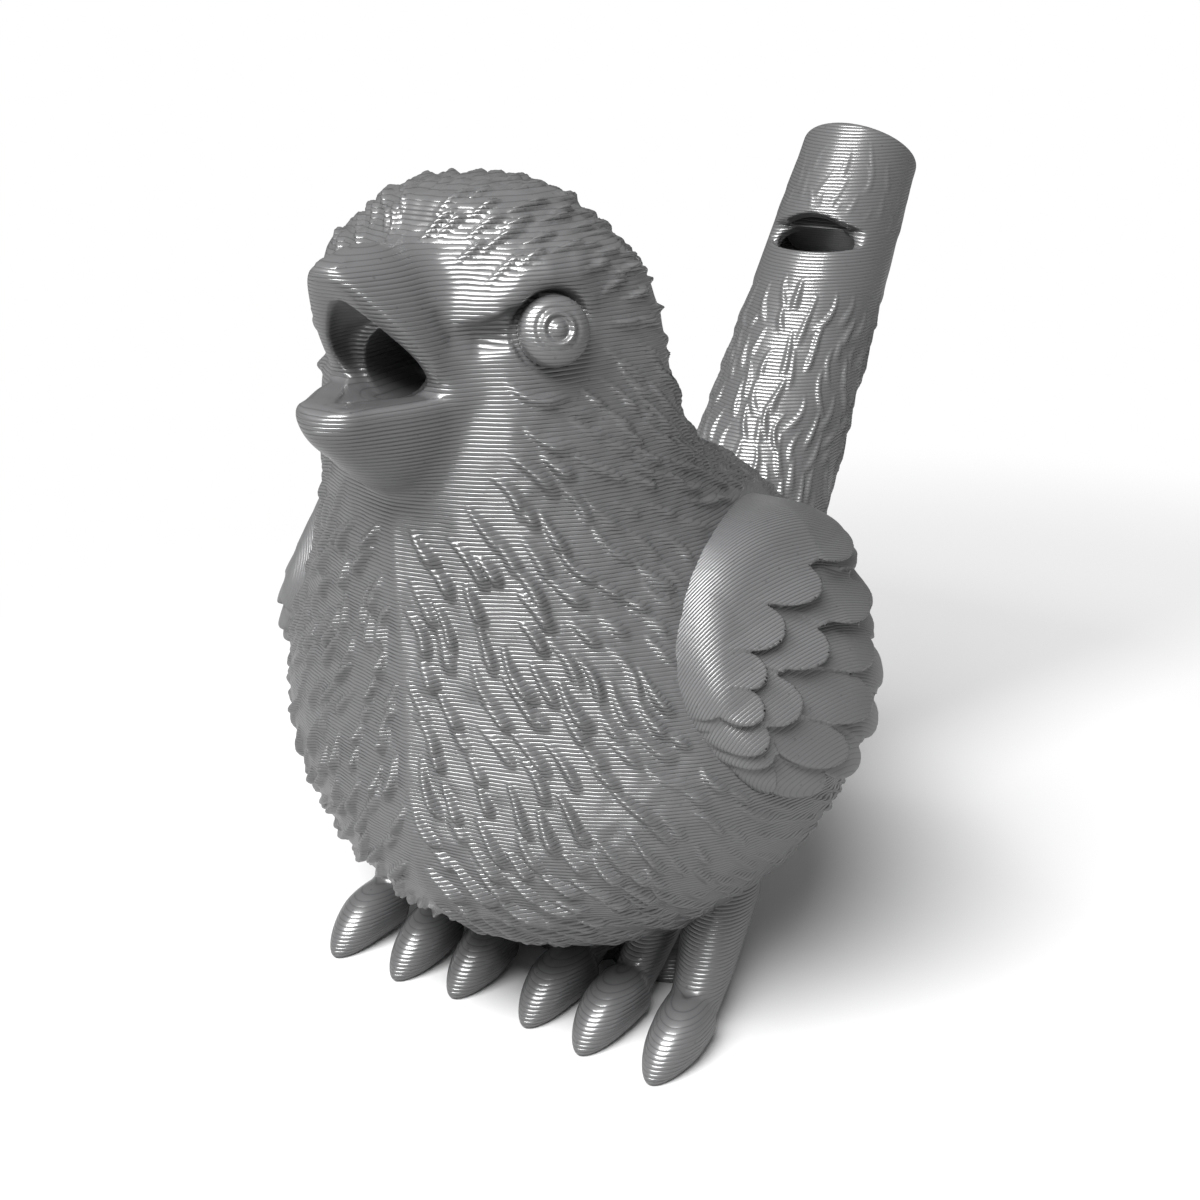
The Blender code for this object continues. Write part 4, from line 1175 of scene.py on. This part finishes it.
def floor_material():
    """Pale floor that the camera sees as plain white away from the bird and its shadow."""
    material = bpy.data.materials.new("pale_floor")
    material.use_nodes = True
    graph = Graph(material.node_tree)
    shader = graph.nodes["Principled BSDF"]
    shader.inputs["Roughness"].default_value = 0.9
    camera_ray = graph.add("LightPath").outputs["Is Camera Ray"]
    grey = graph.math("ADD", graph.math("MULTIPLY", camera_ray, FLOOR_SEEN - FLOOR_BOUNCE), FLOOR_BOUNCE)
    graph.feed(shader.inputs["Base Color"], grey)
    span = graph.vector("DISTANCE", graph.add("TexCoord").outputs["Object"], FADE_CENTRE)
    fade = graph.add("MapRange", interpolation_type="SMOOTHSTEP")
    fade.inputs["From Min"].default_value = FADE_NEAR
    fade.inputs["From Max"].default_value = FADE_FAR
    graph.feed(fade.inputs["Value"], span)
    share = graph.math("MULTIPLY", fade.outputs["Result"], camera_ray)
    seen = graph.mix_shaders(share, shader.outputs[0], graph.add("Emission").outputs[0])
    graph.feed(graph.nodes["Material Output"].inputs["Surface"], seen)
    return material


def add_floor():
    bm = bmesh.new()
    bmesh.ops.create_grid(bm, x_segments=1, y_segments=1, size=FLOOR_HALF)
    mesh = bpy.data.meshes.new("floor")
    bm.to_mesh(mesh)
    bm.free()
    mesh.materials.append(floor_material())
    floor = bpy.data.objects.new("floor", mesh)
    bpy.context.scene.collection.objects.link(floor)


def add_world():
    """Dim even light; the camera alone sees it as white."""
    world = bpy.data.worlds.new("studio")
    world.use_nodes = True
    graph = Graph(world.node_tree)
    dim = graph.nodes["Background"]
    white = graph.add("Background")
    for background, strength in ((dim, WORLD_STRENGTH), (white, 1.0)):
        background.inputs["Color"].default_value = (1.0, 1.0, 1.0, 1.0)
        background.inputs["Strength"].default_value = strength
    camera_ray = graph.add("LightPath").outputs["Is Camera Ray"]
    seen = graph.mix_shaders(camera_ray, dim.outputs[0], white.outputs[0])
    graph.feed(graph.nodes["World Output"].inputs["Surface"], seen)
    bpy.context.scene.world = world


def add_lamp():
    light = bpy.data.lights.new("key", "AREA")
    light.shape = "RECTANGLE"
    light.size, light.size_y = LAMP_SIZE
    light.energy = LAMP_POWER
    thing = bpy.data.objects.new("key", light)
    bpy.context.scene.collection.objects.link(thing)
    thing.location = LAMP_PLACE
    thing.rotation_euler = (Vector(LAMP_AIM) - Vector(LAMP_PLACE)).to_track_quat("-Z", "Y").to_euler()


def add_camera():
    camera = bpy.data.cameras.new("camera")
    camera.sensor_width = 36.0
    camera.lens = 48.0
    camera.clip_start = 0.005
    thing = bpy.data.objects.new("camera", camera)
    bpy.context.scene.collection.objects.link(thing)
    right = Vector((math.cos(CAMERA_TURN), math.sin(CAMERA_TURN), 0))
    level = math.cos(CAMERA_DROP)
    ahead = Vector((
        -math.sin(CAMERA_TURN) * level, math.cos(CAMERA_TURN) * level, -math.sin(CAMERA_DROP)))
    pose = Matrix((right, right.cross(ahead), -ahead)).transposed().to_4x4()
    x, y, z = CAMERA_PLACE
    pose.translation = Vector((x, y + SHIFT_Y, z)) * MM
    thing.matrix_world = pose
    bpy.context.scene.camera = thing


dress_bird()
bpy.context.scene.view_settings.view_transform = "Standard"
add_floor()
add_world()
add_lamp()
add_camera()
